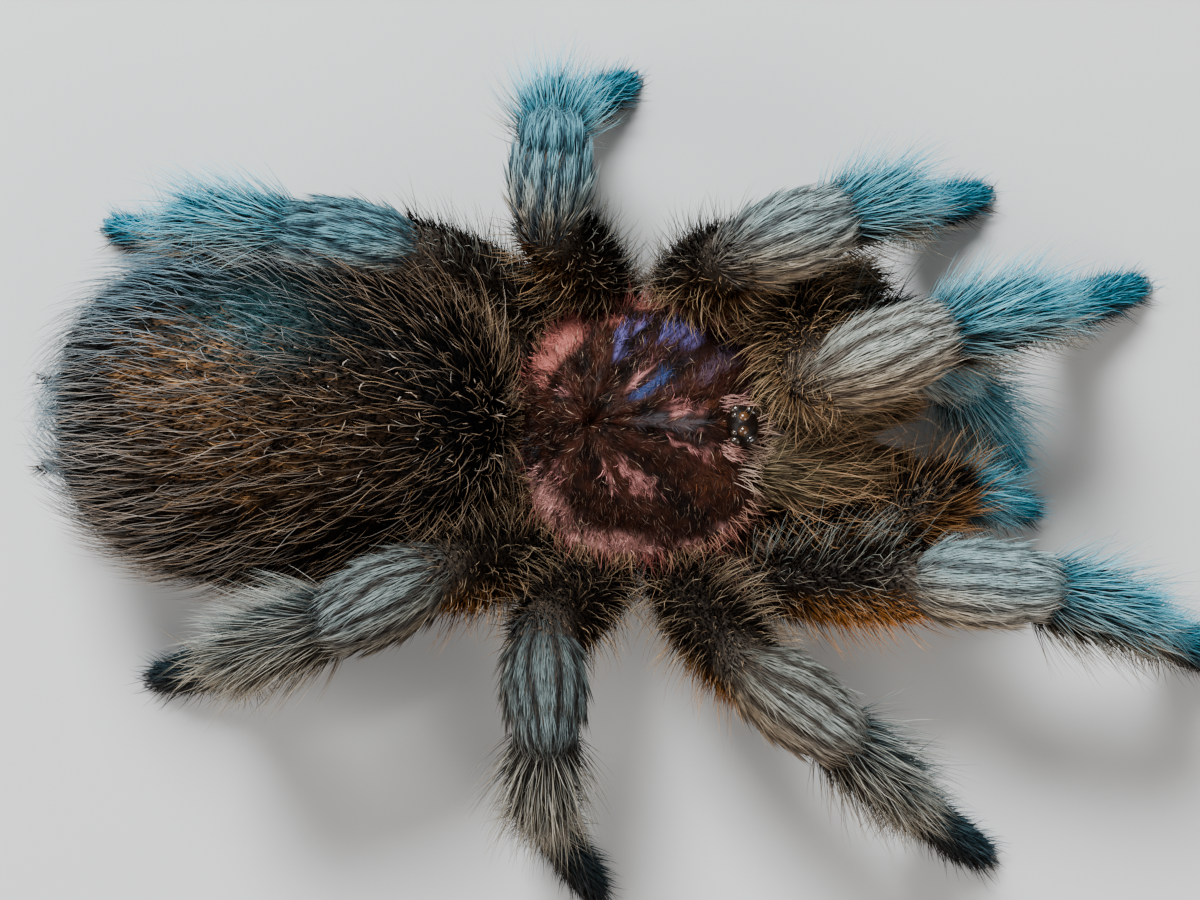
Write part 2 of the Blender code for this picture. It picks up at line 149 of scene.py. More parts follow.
def newMesh(name, points, faces, paint, slotName, uv=None, marks=None):
    # Points in millimetres to metres in the frame, all faces alike, smooth, riding on the body.
    mesh = bpy.data.meshes.new(name)
    mesh.vertices.add(len(points))
    mesh.vertices.foreach_set("co", (points * mm + middle).astype(np.float32).ravel())
    mesh.loops.add(faces.size)
    mesh.loops.foreach_set("vertex_index", faces.astype(np.int32).ravel())
    mesh.polygons.add(len(faces))
    mesh.polygons.foreach_set("loop_start", np.arange(0, faces.size, faces.shape[1], dtype=np.int32))
    mesh.update(calc_edges=True)
    mesh.validate()
    mesh.shade_smooth()
    for key, values in (marks or {}).items():
        colour = values.ndim == 2
        if colour:
            values = np.column_stack([values, np.ones(len(values))])
        layer = mesh.attributes.new(key, "FLOAT_COLOR" if colour else "FLOAT", "POINT")
        layer.data.foreach_set("color" if colour else "value", values.astype(np.float32).ravel())
    if uv is not None:
        layer = mesh.uv_layers.new(name="OFBake")
        layer.data.foreach_set("uv", uv[faces.ravel()].astype(np.float32).ravel())
    mesh.materials.append(paint.material)
    piece = placed(name, mesh)
    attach(piece, "root")
    return piece


def closedGrid(surface, rows, around):
    # Rings at u = 1/rows, 2/rows, ... joined by quads cut in two, and a fan to each pole.
    u = np.arange(1, rows)[:, None] / rows
    v = np.arange(around)[None, :] / around
    rings = surface(*np.broadcast_arrays(u, v))
    poles = surface(np.array((0.0, 1.0)), np.zeros(2))
    points = np.vstack([rings.reshape(-1, 3), poles])
    here = np.arange(around)
    after = (here + 1) % around
    low = np.arange(rows - 2)[:, None] * around
    first = len(points) - 2
    top = (rows - 2) * around
    faces = [
        np.stack([low + here, low + after, low + around + after], -1).reshape(-1, 3),
        np.stack([low + here, low + around + after, low + around + here], -1).reshape(-1, 3),
        np.stack([np.full(around, first), after, here], -1),
        np.stack([top + here, top + after, np.full(around, first + 1)], -1),
    ]
    return points, np.vstack(faces)


def joined(parts):
    # Several (points, faces) as one.
    starts = np.cumsum([0] + [len(points) for points, _ in parts])
    points = np.vstack([points for points, _ in parts])
    return points, np.vstack([faces + start for (_, faces), start in zip(parts, starts)])


def limited(value):
    return np.clip(value, 0, 1)


def unit(v):
    return v / np.maximum(np.linalg.norm(v, axis=-1, keepdims=True), 1e-9)


def heading(yaw, pitch):
    # Unit vector turned by yaw from +X towards +Y and lifted by pitch, in degrees.
    yaw, pitch = math.radians(yaw), math.radians(pitch)
    return np.array((math.cos(pitch) * math.cos(yaw), math.cos(pitch) * math.sin(yaw), math.sin(pitch)))


def mixed(first, second, share):
    # Colours or points, row by row: first where share is 0, second where it is 1.
    share = limited(np.asarray(share, float))[..., None]
    return np.asarray(first) * (1 - share) + np.asarray(second) * share


def bellCurve(distance, width):
    return np.exp(-(distance / width) ** 2)


def sway(points, size, seed):
    # Smooth wander from -1 to 1 over the body: four sine waves about size millimetres long.
    random = np.random.default_rng(seed)
    waves = unit(random.normal(size=(4, 3))) * (2 * np.pi / size) * random.uniform(0.6, 1.4, (4, 1))
    return np.sin(points @ waves.T + random.uniform(0, 6.3, 4)).mean(1) * 1.6


# Shapes of the flesh: tubes for the limbs, jaws and spinnerets, eggs for abdomen and chest.

shapes = []  # every shape: its surface, how deep a point lies in it, its hide's colour
tubeKit = {"cap": 0.12, "rows": 22, "around": 28}  # share of u on each round end, rings, points to a ring


def tube(name, start, end, lift, girth, hide, flat=1.0, scale=1.0):
    # Straight tube, radius read from girth = (share, radius) along it, a quarter round on each end:
    # P = start + axis * reach + ring * (cos(v) * lift + flat * sin(v) * side).
    start, end, cap = np.asarray(start, float), np.asarray(end, float), tubeKit["cap"]
    length = np.linalg.norm(end - start)
    axis = (end - start) / length
    lift = unit(lift - axis * (lift @ axis))
    side = np.cross(axis, lift)
    shares, radii = np.array(girth, float).T
    radii = radii * scale

    def surface(u, v):
        body = limited((u - cap) / (1 - 2 * cap))
        low = limited(1 - u / cap) * np.pi / 2
        high = limited((u - 1 + cap) / cap) * np.pi / 2
        radius = np.interp(body, shares, radii)
        reach = (body * length + radius * (np.sin(high) - np.sin(low)))[..., None]
        ring = (radius * np.cos(low) * np.cos(high))[..., None]
        turn = 2 * np.pi * v[..., None]
        return start + axis * reach + ring * (np.cos(turn) * lift + flat * np.sin(turn) * side)

    def depth(points):
        # How far inside the tube: its radius there less the distance from its axis.
        share = limited((points - start) @ axis / length)
        out = points - start - axis * (share * length)[:, None]
        out = out + side * ((out @ side) * (1 / flat - 1))[:, None]
        return np.interp(share, shares, radii) - np.linalg.norm(out, axis=1)

    shape = {"name": name, "surface": surface, "depth": depth, "hide": hide,
             "length": length, "rows": tubeKit["rows"], "around": tubeKit["around"]}
    shapes.append(shape)
    return shape


def egg(name, centre, half, hide, fuller=0.0, blunt=1.0, rows=40, around=56):
    # Egg lying along X from front to rear: x = cos(pi u), ring = sin(pi u)^blunt, fuller behind.
    centre, half = np.array(centre, float), np.array(half, float)

    def surface(u, v):
        along = np.cos(np.pi * u)
        ring = np.sin(np.pi * limited(u)) ** blunt * (1 - fuller * along * (1 - np.abs(along)))
        turn = 2 * np.pi * v
        return centre + half * np.stack([along, ring * np.sin(turn), ring * np.cos(turn)], -1)

    def depth(points):
        return (1 - np.linalg.norm((points - centre) / half, axis=1)) * half.min()

    shape = {"name": name, "surface": surface, "depth": depth, "hide": hide,
             "length": 2 * half[0], "rows": rows, "around": around}
    shapes.append(shape)
    return shape


# The limbs: each is laid out along its back, and the last slope is found from the floor.
limbKit = {
    "legSegments": ("femur", "patella", "tibia", "metatarsus", "tarsus"),
    "palpSegments": ("femur", "patella", "tibia", "tarsus"),
    # how deep the middle lies below the back at each joint
    "back": {"femur": 2.3, "patella": 2.7, "tibia": 2.6, "metatarsus": 2.2, "tarsus": 1.7, "toe": 1.2},
    # how deep a foot's pad hangs below its middle along it, and how far it is sunk in the floor
    "pad": ((0, 2.6), (0.3, 2.7), (0.75, 2.5), (0.93, 2.0), (1, 1.2)), "padSink": 0.5,
    "overlap": 2.6, "drop": 0.6,  # how far a coxa reaches into the breast, and how far down
    "girth": {  # share of a segment's length, radius there
        "coxa": ((0, 1.8), (0.5, 2.4), (0.75, 2.1), (1, 2.2)),
        "femur": ((0, 1.9), (0.25, 2.6), (0.6, 3.1), (0.9, 2.95), (1, 2.6)),
        "patella": ((0, 2.4), (0.15, 3.0), (0.5, 3.5), (0.85, 3.4), (1, 2.9)),
        "tibia": ((0, 2.2), (0.2, 2.5), (0.6, 2.6), (0.9, 2.3), (1, 2.1)),
        "metatarsus": ((0, 1.95), (0.3, 1.85), (0.8, 1.6), (1, 1.5)),
        "tarsus": ((0, 1.4), (0.3, 1.6), (0.75, 1.5), (1, 1.05)),
    },
    "hide": {
        "coxa": (0.030, 0.018, 0.014), "femur": (0.016, 0.011, 0.008), "patella": (0.075, 0.058, 0.044),
        "tibia": (0.030, 0.026, 0.023), "metatarsus": (0.018, 0.022, 0.026), "tarsus": (0.014, 0.018, 0.022),
    },
}
legs = {  # hip, segment lengths and girth of each pair
    1: {"hip": (8.8, 12.9, 7.6), "coxa": 7.6, "lengths": (15.6, 10.4, 11.6, 11.2, 8.2), "stout": 1.0},
    2: {"hip": (2.6, 12.8, 7.6), "coxa": 7.6, "lengths": (14.4, 9.8, 10.2, 10.8, 8.0), "stout": 0.97},
    3: {"hip": (-3.2, 12.4, 7.6), "coxa": 7.6, "lengths": (12.8, 9.2, 9.2, 11.0, 8.0), "stout": 0.95},
    4: {"hip": (-8.4, 10.6, 7.6), "coxa": 7.6, "lengths": (15.2, 9.6, 12.2, 13.6, 8.4), "stout": 0.98},
}
palps = {"hip": (10.4, 6.9, 6.8), "coxa": 4.2, "lengths": (11.6, 7.1, 8.2, 7.6), "stout": 0.74}
stances = {  # yaw of each segment, pitch of all but the last, and how much painted blue light its pale hairs take
    "leg_left_1": ((-87, 9, 20, 22, 22), (49, 0, -21, -67), 0.95),
    "leg_left_2": ((10, 20, 24, 23, 22), (70, 4, -32, -81), 1.0),
    "leg_left_3": ((152, 96, 86, 58, 32), (59, 30, -48, -84), 1.0),
    "leg_left_4": ((163, 174, 173, 169, 162), (34, 21, -9, -88), 0.92),
    "leg_right_1": ((0, -4, -12, -13, -15), (24, 26, -22, -65), 0.75),
    "leg_right_2": ((-53, -38, -37, -34, -32), (45, 14, -30, -75), 0.12),
    "leg_right_3": ((-135, -93, -89, -74, -52), (52, 16, -30, -86), 0.08),
    "leg_right_4": ((-164, -152, -163, -168, -173), (50, 18, -17, -88), 0.10),
    "palp_left": ((14, -36, -40, -48), (18, 10, -54), 1.45),
    "palp_right": ((-8, 28, 2, -4), (20, 14, -64), 1.25),
}
swings = {"leg_left_1": (3.8, 1.1, 0)}  # how far a hip has moved forward and out, its coxa stretched


def footPitch(height, length, depths, stout):
    # The first slope down from 5 degrees at which the pad's lowest point is sunk in the floor.
    slopes = np.radians(5 - np.arange(190) / 2)[:, None]
    share, radius = np.array(limbKit["pad"]).T
    thick = depths[0] + (depths[1] - depths[0]) * share + radius * stout
    lowest = (height + share * length * np.sin(slopes) - thick * np.cos(slopes)).min(1)
    return math.degrees(slopes[np.argmax(lowest < -limbKit["padSink"]), 0])


def limbJoints(hip, lengths, yaws, pitches, depths, stout):
    # Backs end to end; each joint's middle is its depth below the back, halfway between two runs.
    runs, lifts, backs = [], [], []
    for index, length in enumerate(lengths):
        if index < len(pitches):
            pitch = pitches[index]
        else:
            pitch = footPitch(backs[-1][2], length, depths[-2:], stout)
        runs.append(heading(yaws[index], pitch))
        lifts.append(heading(yaws[index], pitch + 90))
        before = backs[-1] if backs else hip + lifts[0] * depths[0]
        backs.append(before + runs[-1] * length)
    joints = [hip]
    for index, (before, after) in enumerate(zip(runs, runs[1:])):
        through = unit(before + after)
        across = lifts[index] + lifts[index + 1]
        across = unit(across - through * (across @ through))
        joints.append(backs[index] - across * (depths[index + 1] / (before @ through)))
    joints.append(backs[-1] - lifts[-1] * depths[-1])
    return joints, lifts


def makeLimb(name):
    # The tubes of one limb, from the coxa beside the breast to the toe.
    yaws, pitches, blueLightAmount = stances[name]
    kind, side = name.split("_")[:2]
    kit = palps if kind == "palp" else legs[int(name[-1])]
    segments = limbKit[kind + "Segments"]
    mirror = np.array((1, 1 if side == "left" else -1, 1))
    swing = np.array(swings.get(name, (0, 0, 0)), float)
    hip = (kit["hip"] + swing) * mirror
    stout = kit["stout"]
    depths = [limbKit["back"][segment] * stout for segment in (*segments, "toe")]
    joints, lifts = limbJoints(hip, kit["lengths"], yaws, pitches, depths, stout)
    inward = (-0.75, -0.65, 0) * mirror if kind == "palp" else hip * (-0.75, -1, 0)
    reach = kit["coxa"] + np.linalg.norm(swing)
    root = hip + unit(inward) * (limbKit["overlap"] * stout + reach) - up * limbKit["drop"]
    made = [tube("coxa", root, hip, up, limbKit["girth"]["coxa"], limbKit["hide"]["coxa"], scale=stout)]
    for index, segment in enumerate(segments):
        made.append(tube(segment, joints[index], joints[index + 1], lifts[index],
                         limbKit["girth"][segment], limbKit["hide"][segment], scale=stout))
    for shape in made:
        shape["blueLightAmount"] = blueLightAmount
    made[-1]["toe"] = (joints[-1], unit(joints[-1] - joints[-2]), lifts[-1], stout)
    return made


limbs = {name: makeLimb(name) for name in stances}

body = {
    "abdomenCentre": (-30.8, 0.3, 14.0), "abdomenHalf": (18.6, 14.1, 11.2),
    "chest": (-0.8, 0, 9.4), "chestHalf": (10.2, 9.4, 2.4),
    "jawRoot": (11.0, 3.4, 10.1), "jawTip": (20.6, 3.1, 8.9),
    "jawGirth": ((0, 3.0), (0.15, 3.6), (0.4, 3.85), (0.7, 3.6), (0.88, 3.0), (1, 2.3)), "jawFlat": 0.82,
    "spinner": (-45.8, 2.2, 7.3), "spinnerLength": 7.0, "spinnerSplay": 14, "spinnerRise": 4,
    "spinnerPieces": ((0.0, 0.36, 0.95), (0.42, 0.68, 0.75), (0.74, 0.97, 0.5)),  # start, end, radius
    "spinnerHide": (0.03, 0.02, 0.015),
    # start, end and girth of the small spinnerets, and of the flesh between body and leg
    "smallSpinner": ((-46.2, 1.0, 7.2), (-48.6, 1.2, 6.9), ((0, 0.7), (1, 0.45))),
    "haunch": ((-8.6, 4.6, 8.8), (-12.4, 7.6, 9.6), ((0, 1.6), (0.5, 2.2), (1, 1.9))),
    "stub": ((12.6, 13.4, 7.4), (18.2, 13.2, 8.6), ((0, 2.2), (0.6, 2.5), (1, 1.9))),
    "bridge": ((4.6, 8.6, 7.2), (9.4, 10.6, 7.2), ((0, 1.6), (0.5, 2.0), (1, 1.8))),
}
darkHide = (0.012, 0.008, 0.006)
abdomen = egg("abdomen", body["abdomenCentre"], body["abdomenHalf"], darkHide, 0.10, 0.70)
chest = egg("chest", body["chest"], body["chestHalf"], (0.03, 0.016, 0.012), rows=24, around=40)
breast = tube("breast", (8.0, 0, 7.3), (-10.6, 0, 7.7), up,
              ((0, 0.5), (0.1, 1.1), (0.25, 1.7), (0.5, 2.05), (0.72, 1.9), (0.85, 1.1), (1, 0.9)),
              (0.022, 0.014, 0.012), flat=2.1)
waist = tube("waist", (-9.5, 0, 8.6), (-14.5, 0, 10.5), up, ((0, 1.9), (1, 2.2)), darkHide)
jaws, spinners = {}, {}


def addHaunch(limb, part, blueLightAmount, side=1):
    start, end, girth = body[part]
    shape = tube("haunch", start * np.array((1, side, 1)), end * np.array((1, side, 1)), up, girth, darkHide)
    limbs[limb].append(dict(shape, blueLightAmount=blueLightAmount))


for sideName, side in sides.items():
    mirror = np.array((1, side, 1))
    jaws[sideName] = tube("jaw", mirror * body["jawRoot"], mirror * body["jawTip"], up, body["jawGirth"],
                          (0.035, 0.024, 0.014), flat=body["jawFlat"])
    start = mirror * body["spinner"]
    run = heading(180 - side * body["spinnerSplay"], body["spinnerRise"])
    spinners[sideName] = [
        tube("spinner", start + run * body["spinnerLength"] * low, start + run * body["spinnerLength"] * high,
             up, ((0, thick), (0.8, thick * 0.92), (1, thick * 0.7)), body["spinnerHide"])
        for low, high, thick in body["spinnerPieces"]]
    tubeStart, tubeEnd, tubeGirth = body["smallSpinner"]
    tube("spinner", mirror * tubeStart, mirror * tubeEnd, up, tubeGirth, body["spinnerHide"])
    addHaunch("leg_" + sideName + "_4", "haunch", 0.2, side)
addHaunch("leg_left_1", "stub", 0.3)
addHaunch("leg_left_2", "bridge", 0.3)
print("shapes of the flesh:", len(shapes))


def buried(points, margin=0.3):
    # True for points that lie deeper than the margin inside any shape of flesh.
    inside = np.zeros(len(points), bool)
    for shape in shapes:
        inside |= shape["depth"](points) > margin
    return inside


# Markings, and the painted teal sheen, which skin and coat share.

abdomenLooks = {
    "front": (0.0008, 0.0006, 0.0005), "rear": (0.0045, 0.0028, 0.0020), "gold": (0.56, 0.25, 0.085),
    # teal: a painted sheen, colour standing in for teal light reflected off the hair
    "blueLightTeal": (0.014, 0.052, 0.056),
    # x, y, size and strength of each golden patch
    "patches": ((-38.4, 2.4, 4.2, 0.85), (-35.0, -3.6, 5.0, 0.45), (-29.5, -3.0, 6.5, 0.2)),
    "sheen": (-33.0, 6.6, 5.4, 3.6),  # x, y and half sizes of the painted teal sheen beside the patch
}


def patchShare(points):
    # How golden the back is: round, broken patches with wandering edges, on the upper side only.
    share = np.zeros(len(points))
    for x, y, size, strength in abdomenLooks["patches"]:
        away = np.hypot((points[:, 0] - x) / 1.25, points[:, 1] - y) + 1.3 * sway(points, 3.0, 5)
        share = np.maximum(share, limited(1.5 - away / size) * strength)
    broken = np.clip(0.8 + 0.8 * sway(points, 1.2, 33), 0.2, 1)
    return share * limited((points[:, 2] - 13) / 3) * broken


def sheenShare(points):
    # How much painted teal sheen the back has: one soft oval to the left of the patches.
    x, y, halfX, halfY = abdomenLooks["sheen"]
    return bellCurve(points[:, 0] - x, halfX) * bellCurve(points[:, 1] - y, halfY) * (points[:, 2] > 12)


def abdomenGround(points):
    # Near black in front, browner behind, with the painted teal sheen over it.
    ground = mixed(abdomenLooks["front"], abdomenLooks["rear"], (-22 - points[:, 0]) / 16)
    return mixed(ground, abdomenLooks["blueLightTeal"], sheenShare(points))


def abdomenMarking(points):
    return mixed(abdomenGround(points), abdomenLooks["gold"], patchShare(points) * 0.6)


shell = {
    "length": 21.4, "width": 22.0, "under": 9.8, "rim": 1.1, "dome": 5.5, "fovea": -4.8, "foveaDepth": 1.5,
    "foveaSize": 0.075, "frontTaper": 0.13, "squareness": 2.7, "head": 0.9, "headSpread": 0.55,
    "groove": 0.36, "grooves": 8, "rows": 92, "around": 240, "grain": 2200, "cloud": 420,
    "brown": (0.046, 0.013, 0.007), "dark": (0.007, 0.0034, 0.0025), "rose": (1.0, 0.46, 0.41),
    "violet": (0.20, 0.17, 0.48), "blue": (0.045, 0.085, 0.25), "pink": (0.95, 0.37, 0.35),
    "salmon": (0.76, 0.23, 0.19), "slate": (0.13, 0.13, 0.15), "rust": (0.30, 0.095, 0.040),
    "plum": (0.20, 0.13, 0.20),
    # streaks that leave the fovea: direction and half width in degrees, where they start and end on
    # the way out to the rim, colour, share of the hairs that have it
    "streaks": (
        (0, 8, 0.16, 0.70, "slate", 0.45), (202, 22, 0.66, 1.1, "slate", 0.35),
        (26, 10, 0.58, 1.0, "plum", 0.45), (0, 7, 0.64, 0.82, "rust", 0.6),
        (15, 4, 0.54, 0.76, "rust", 0.5), (-22, 12, 0.60, 0.92, "rust", 0.25),
        (66, 6, 0.42, 0.88, "violet", 0.9), (47, 6, 0.48, 0.92, "violet", 0.9),
        (32, 8, 0.20, 0.58, "blue", 0.9), (43, 4, 0.24, 0.64, "pink", 0.7),
        (11, 3, 0.36, 0.66, "pink", 0.6), (-11.5, 2.5, 0.34, 0.74, "pink", 0.35),
        (-50, 5, 0.22, 0.62, "pink", 0.55), (-72, 5, 0.26, 0.60, "pink", 0.45),
        (129, 7, 0.28, 0.56, "pink", 0.4), (-121, 12, 0.44, 0.70, "pink", 0.4),
        (118, 26, 0.60, 1.1, "salmon", 0.9), (-122, 22, 0.66, 1.1, "rose", 1.0),
        (-82, 24, 0.78, 1.1, "rose", 1.0), (-50, 17, 0.87, 1.1, "rose", 0.6),
        (76, 7, 0.72, 0.90, "salmon", 0.8), (55, 22, 0.89, 1.1, "salmon", 0.8),
    ),
    "beyond": 0.15,  # share of the plate's u that lies past the rim, round its edge and underneath
}


def shellRim(angle):
    # Squared oval, radius = (|cos|^n + |sin|^n)^(-1/n), a little narrower towards the jaws.
    across, along = np.sin(angle), np.cos(angle)
    power = shell["squareness"]
    reach = (np.abs(along) ** power + np.abs(across) ** power) ** (-1 / power)
    x = shell["length"] / 2 * along * reach
    y = shell["width"] / 2 * across * reach
    front = np.maximum(0, 2 * x / shell["length"])
    return x, y * (1 - shell["frontTaper"] * front ** 1.6)


def shellRidges(angle):
    # Phase of the grooves round the fovea, unevenly spaced.
    return angle * shell["grooves"] + 1.3 * np.sin(2 * angle + 0.7) + 0.9 * np.sin(3 * angle)


def shellHeight(share, angle):
    # A round cap, the raised head, grooves that leave the fovea, the fovea's pit and a beaded rim.
    turned = np.arctan2(np.sin(angle), np.cos(angle))
    cap = shell["dome"] * (1 - share ** 2.6)
    head = shell["head"] * np.exp(-(turned / shell["headSpread"]) ** 2) * share * (1 - share ** 6)
    ridges = np.cos(shellRidges(angle))
    ridges = np.sign(ridges) * np.abs(ridges) ** 0.8
    groove = shell["groove"] * ridges * np.sin(np.pi * share) ** 0.8
    pit = shell["foveaDepth"] * np.exp(-(share / shell["foveaSize"]) ** 2)
    bead = 0.25 * bellCurve(share - 0.965, 0.025)
    return cap + head + groove - pit + bead


def shellTop(u, v):
    # Upper side of the shell: u from the fovea to the rim, v clockwise from the jaws.
    angle = -2 * np.pi * v
    x, y = shellRim(angle)
    height = shell["under"] + shell["rim"] + shellHeight(u, angle)
    return np.stack([shell["fovea"] + (x - shell["fovea"]) * u, y * u, height], -1)


def shellPlate(u, v):
    # The closed plate: the top as far as the rim, the rim's edge, then the underside.
    top = 1 - shell["beyond"]
    share = limited(u / top)
    beyond = limited((u - top) / shell["beyond"])
    upper = shellTop(share, v)
    x, y = shellRim(-2 * np.pi * v)
    rim = np.stack([x, y, np.zeros_like(x)], -1)
    edge = limited(beyond / 0.35)
    inward = limited((beyond - 0.35) / 0.65)
    bulge = 1 + 0.012 * np.sin(np.pi * edge)
    out = rim * (bulge * (1 - inward))[..., None] + np.array((shell["fovea"], 0, 0)) * inward[..., None]
    out[..., 2] = shell["under"] + shell["rim"] * (1 - edge)
    return np.where((beyond > 0)[..., None], out, upper)


def shellMarking(share, angle, points):
    # Dark red brown, darker in the grooves, then the streaks' colour and how much of it there is.
    ray = np.degrees(np.arctan2(points[:, 1], points[:, 0] - shell["fovea"]))
    ragged = sway(points, 1.9, 11)
    ridge = 0.5 + 0.5 * np.cos(shellRidges(angle))
    rays = limited(0.75 + 0.8 * sway(np.stack([ray / 5, share * 2.2, ray * 0], 1), 1.0, 14))
    ground = mixed(shell["dark"], shell["brown"], 0.3 + 0.3 * ridge + 0.5 * ragged)
    bright, amount = ground, np.zeros(len(points))
    for direction, width, start, end, tone, strength in shell["streaks"]:
        off = np.abs((ray + 6 * ragged * (0.3 + share) - direction + 180) % 360 - 180)
        reach = limited((share - start) / 0.1) * limited((end - share) / 0.1)
        own = limited(1.4 - off / width) * reach * rays
        bright = mixed(bright, shell[tone], own * 1.6)
        amount = np.maximum(amount * (1 - own), own * strength)
    return ground, bright, amount


# Skin: one closed surface over all the shapes.

skinKit = {"voxel": 0.46, "smoothing": 5, "lowest": 0.06, "blend": 0.35, "mottle": 900, "pores": 2600.0}
skinPoints, skinFaces = joined([closedGrid(s["surface"], s["rows"], s["around"]) for s in shapes])


def remeshed(points, faces, voxel, smoothing):
    # One closed skin over all the shapes: a voxel remesh, then a few rounds of smoothing.
    mesh = bpy.data.meshes.new("rough")
    mesh.from_pydata((points * mm).tolist(), [], faces.tolist())
    rough = placed("rough", mesh)
    remesh = rough.modifiers.new("remesh", "REMESH")
    remesh.mode = "VOXEL"
    remesh.voxel_size = voxel * mm
    smooth = rough.modifiers.new("smooth", "SMOOTH")
    smooth.iterations = smoothing
    done = rough.evaluated_get(bpy.context.evaluated_depsgraph_get()).to_mesh()
    count = len(done.vertices)
    result = np.empty(count * 3)
    done.vertices.foreach_get("co", result)
    quads = np.empty(len(done.loops), np.int64)
    done.loops.foreach_get("vertex_index", quads)
    bpy.data.objects.remove(rough)
    return result.reshape(-1, 3) / mm, quads.reshape(-1, 4)


skinPoints, skinFaces = remeshed(skinPoints, skinFaces, skinKit["voxel"], skinKit["smoothing"])
skinPoints[:, 2] = np.maximum(skinPoints[:, 2], skinKit["lowest"])


def hideColours(points):
    # Each shape's hide colour, weighted by how close the point is to that shape's surface.
    total = np.zeros(len(points))
    colour = np.zeros((len(points), 3))
    for shape in shapes:
        weight = np.exp(np.clip(shape["depth"](points), -6, 2) / skinKit["blend"])
        own = abdomenMarking(points) * 0.5 if shape is abdomen else np.array(shape["hide"])
        colour += weight[:, None] * own
        total += weight
    return colour / total[:, None]


skinPaint = Paint("skin", Roughness=0.6, Specular_IOR_Level=0.08)
hide = skinPaint.attribute("hide", "Color")
mottle = skinPaint.noise(skinKit["mottle"], 3.0)
pores = skinPaint.add("ShaderNodeTexVoronoi", None, {
    "Vector": skinPaint.add("ShaderNodeTexCoord", out="Object"), "Scale": skinKit["pores"]}, "Distance")
skinPaint.feed(Base_Color=skinPaint.shaded(hide, 0.55 + 0.9 * mottle),
               Roughness=(0.42 + 0.3 * mottle).clamped())
skinPaint.bump(mottle + 0.6 * pores, 0.5, 0.0002)
skin = newMesh("skin", skinPoints, skinFaces, skinPaint, "skin", marks={"hide": hideColours(skinPoints)})
fleshNodes = [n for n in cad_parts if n.split("_")[0] in
              ("leg", "palp", "abdomen", "sternum", "chelicera", "spinneret")]
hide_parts(*fleshNodes)
print("skin faces:", len(skinFaces))

# Shell, eyes, fangs and claws.

platePoints, plateFaces = closedGrid(shellPlate, shell["rows"], shell["around"])
plateX, plateY = platePoints[:, 0] - shell["fovea"], platePoints[:, 1]
plateAngle = np.arctan2(plateY, plateX)
for _ in range(6):  # the angle whose rim point lies on the same ray from the fovea
    rimX, rimY = shellRim(plateAngle)
    plateAngle = plateAngle + np.arctan2(plateY, plateX) - np.arctan2(rimY, rimX - shell["fovea"])
rimX, rimY = shellRim(plateAngle)
plateShare = np.hypot(plateX, plateY) / np.hypot(rimX - shell["fovea"], rimY)
plateGround, plateBright, plateAmount = shellMarking(plateShare, plateAngle, platePoints)
plateMarks = {"marking": mixed(plateGround, plateBright, plateAmount * 0.7) * 0.75}
shellPaint = Paint("shell", Roughness=0.6, Specular_IOR_Level=0.08)
marking = shellPaint.attribute("marking", "Color")
grain = shellPaint.noise(shell["grain"], 3.0)
cloud = shellPaint.noise(shell["cloud"], 2.0)
shellPaint.feed(Base_Color=shellPaint.shaded(marking, 0.45 + 0.6 * cloud + 0.5 * grain),
                Roughness=(0.45 + 0.35 * cloud).clamped())
shellPaint.bump(grain + cloud, 0.6, 0.00018)
plate = newMesh("shell_plate", platePoints, plateFaces, shellPaint, "carapace", marks=plateMarks)
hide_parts("carapace")

eyes = {
    "mound": (8.1, 0, 14.5), "moundHalf": (1.35, 1.8, 1.5),
    # place on the mound, in shares of its half sizes, radius, how long it is, finish
    "set": {
        # the middle front eyes carry a painted reflection, in amber
        "middle_front": ((0.02, 0.34, 0.86), 0.46, 1.0, "amberReflection"),
        "side_front": ((0.56, 0.68, 0.50), 0.42, 1.35, "black"),
        "side_rear": ((-0.50, 0.76, 0.46), 0.38, 1.3, "pearl"),
        "middle_rear": ((-0.56, 0.42, 0.72), 0.26, 1.2, "pearl"),
    },
    "finishes": {
        "black": ((0.003, 0.002, 0.002), (0.020, 0.012, 0.010)),
        # amber: a painted reflection of the light in the middle front eyes
        "amberReflection": ((0.012, 0.005, 0.002), (0.13, 0.050, 0.014)),
        "pearl": ((0.006, 0.004, 0.002), (0.05, 0.030, 0.018)),
    },
    "moundTones": ((0.0014, 0.001, 0.0008), (0.010, 0.0045, 0.0025)),
    "moundGrid": (32, 48), "grid": (18, 28),  # rings and points to a ring
}


def ball(centre, half, facing=up):
    # Ellipsoid whose pole u = 0 looks along facing.
    facing = unit(np.asarray(facing, float))
    side = unit(np.cross(facing, (1.0, 0.13, 0.0)))
    front = np.cross(side, facing)

    def surface(u, v):
        ring = np.sin(np.pi * u)[..., None]
        turn = 2 * np.pi * v[..., None]
        return (np.asarray(centre, float) + facing * (half[2] * np.cos(np.pi * u))[..., None]
                + ring * (half[1] * np.cos(turn) * side - half[0] * np.sin(turn) * front))
    return surface


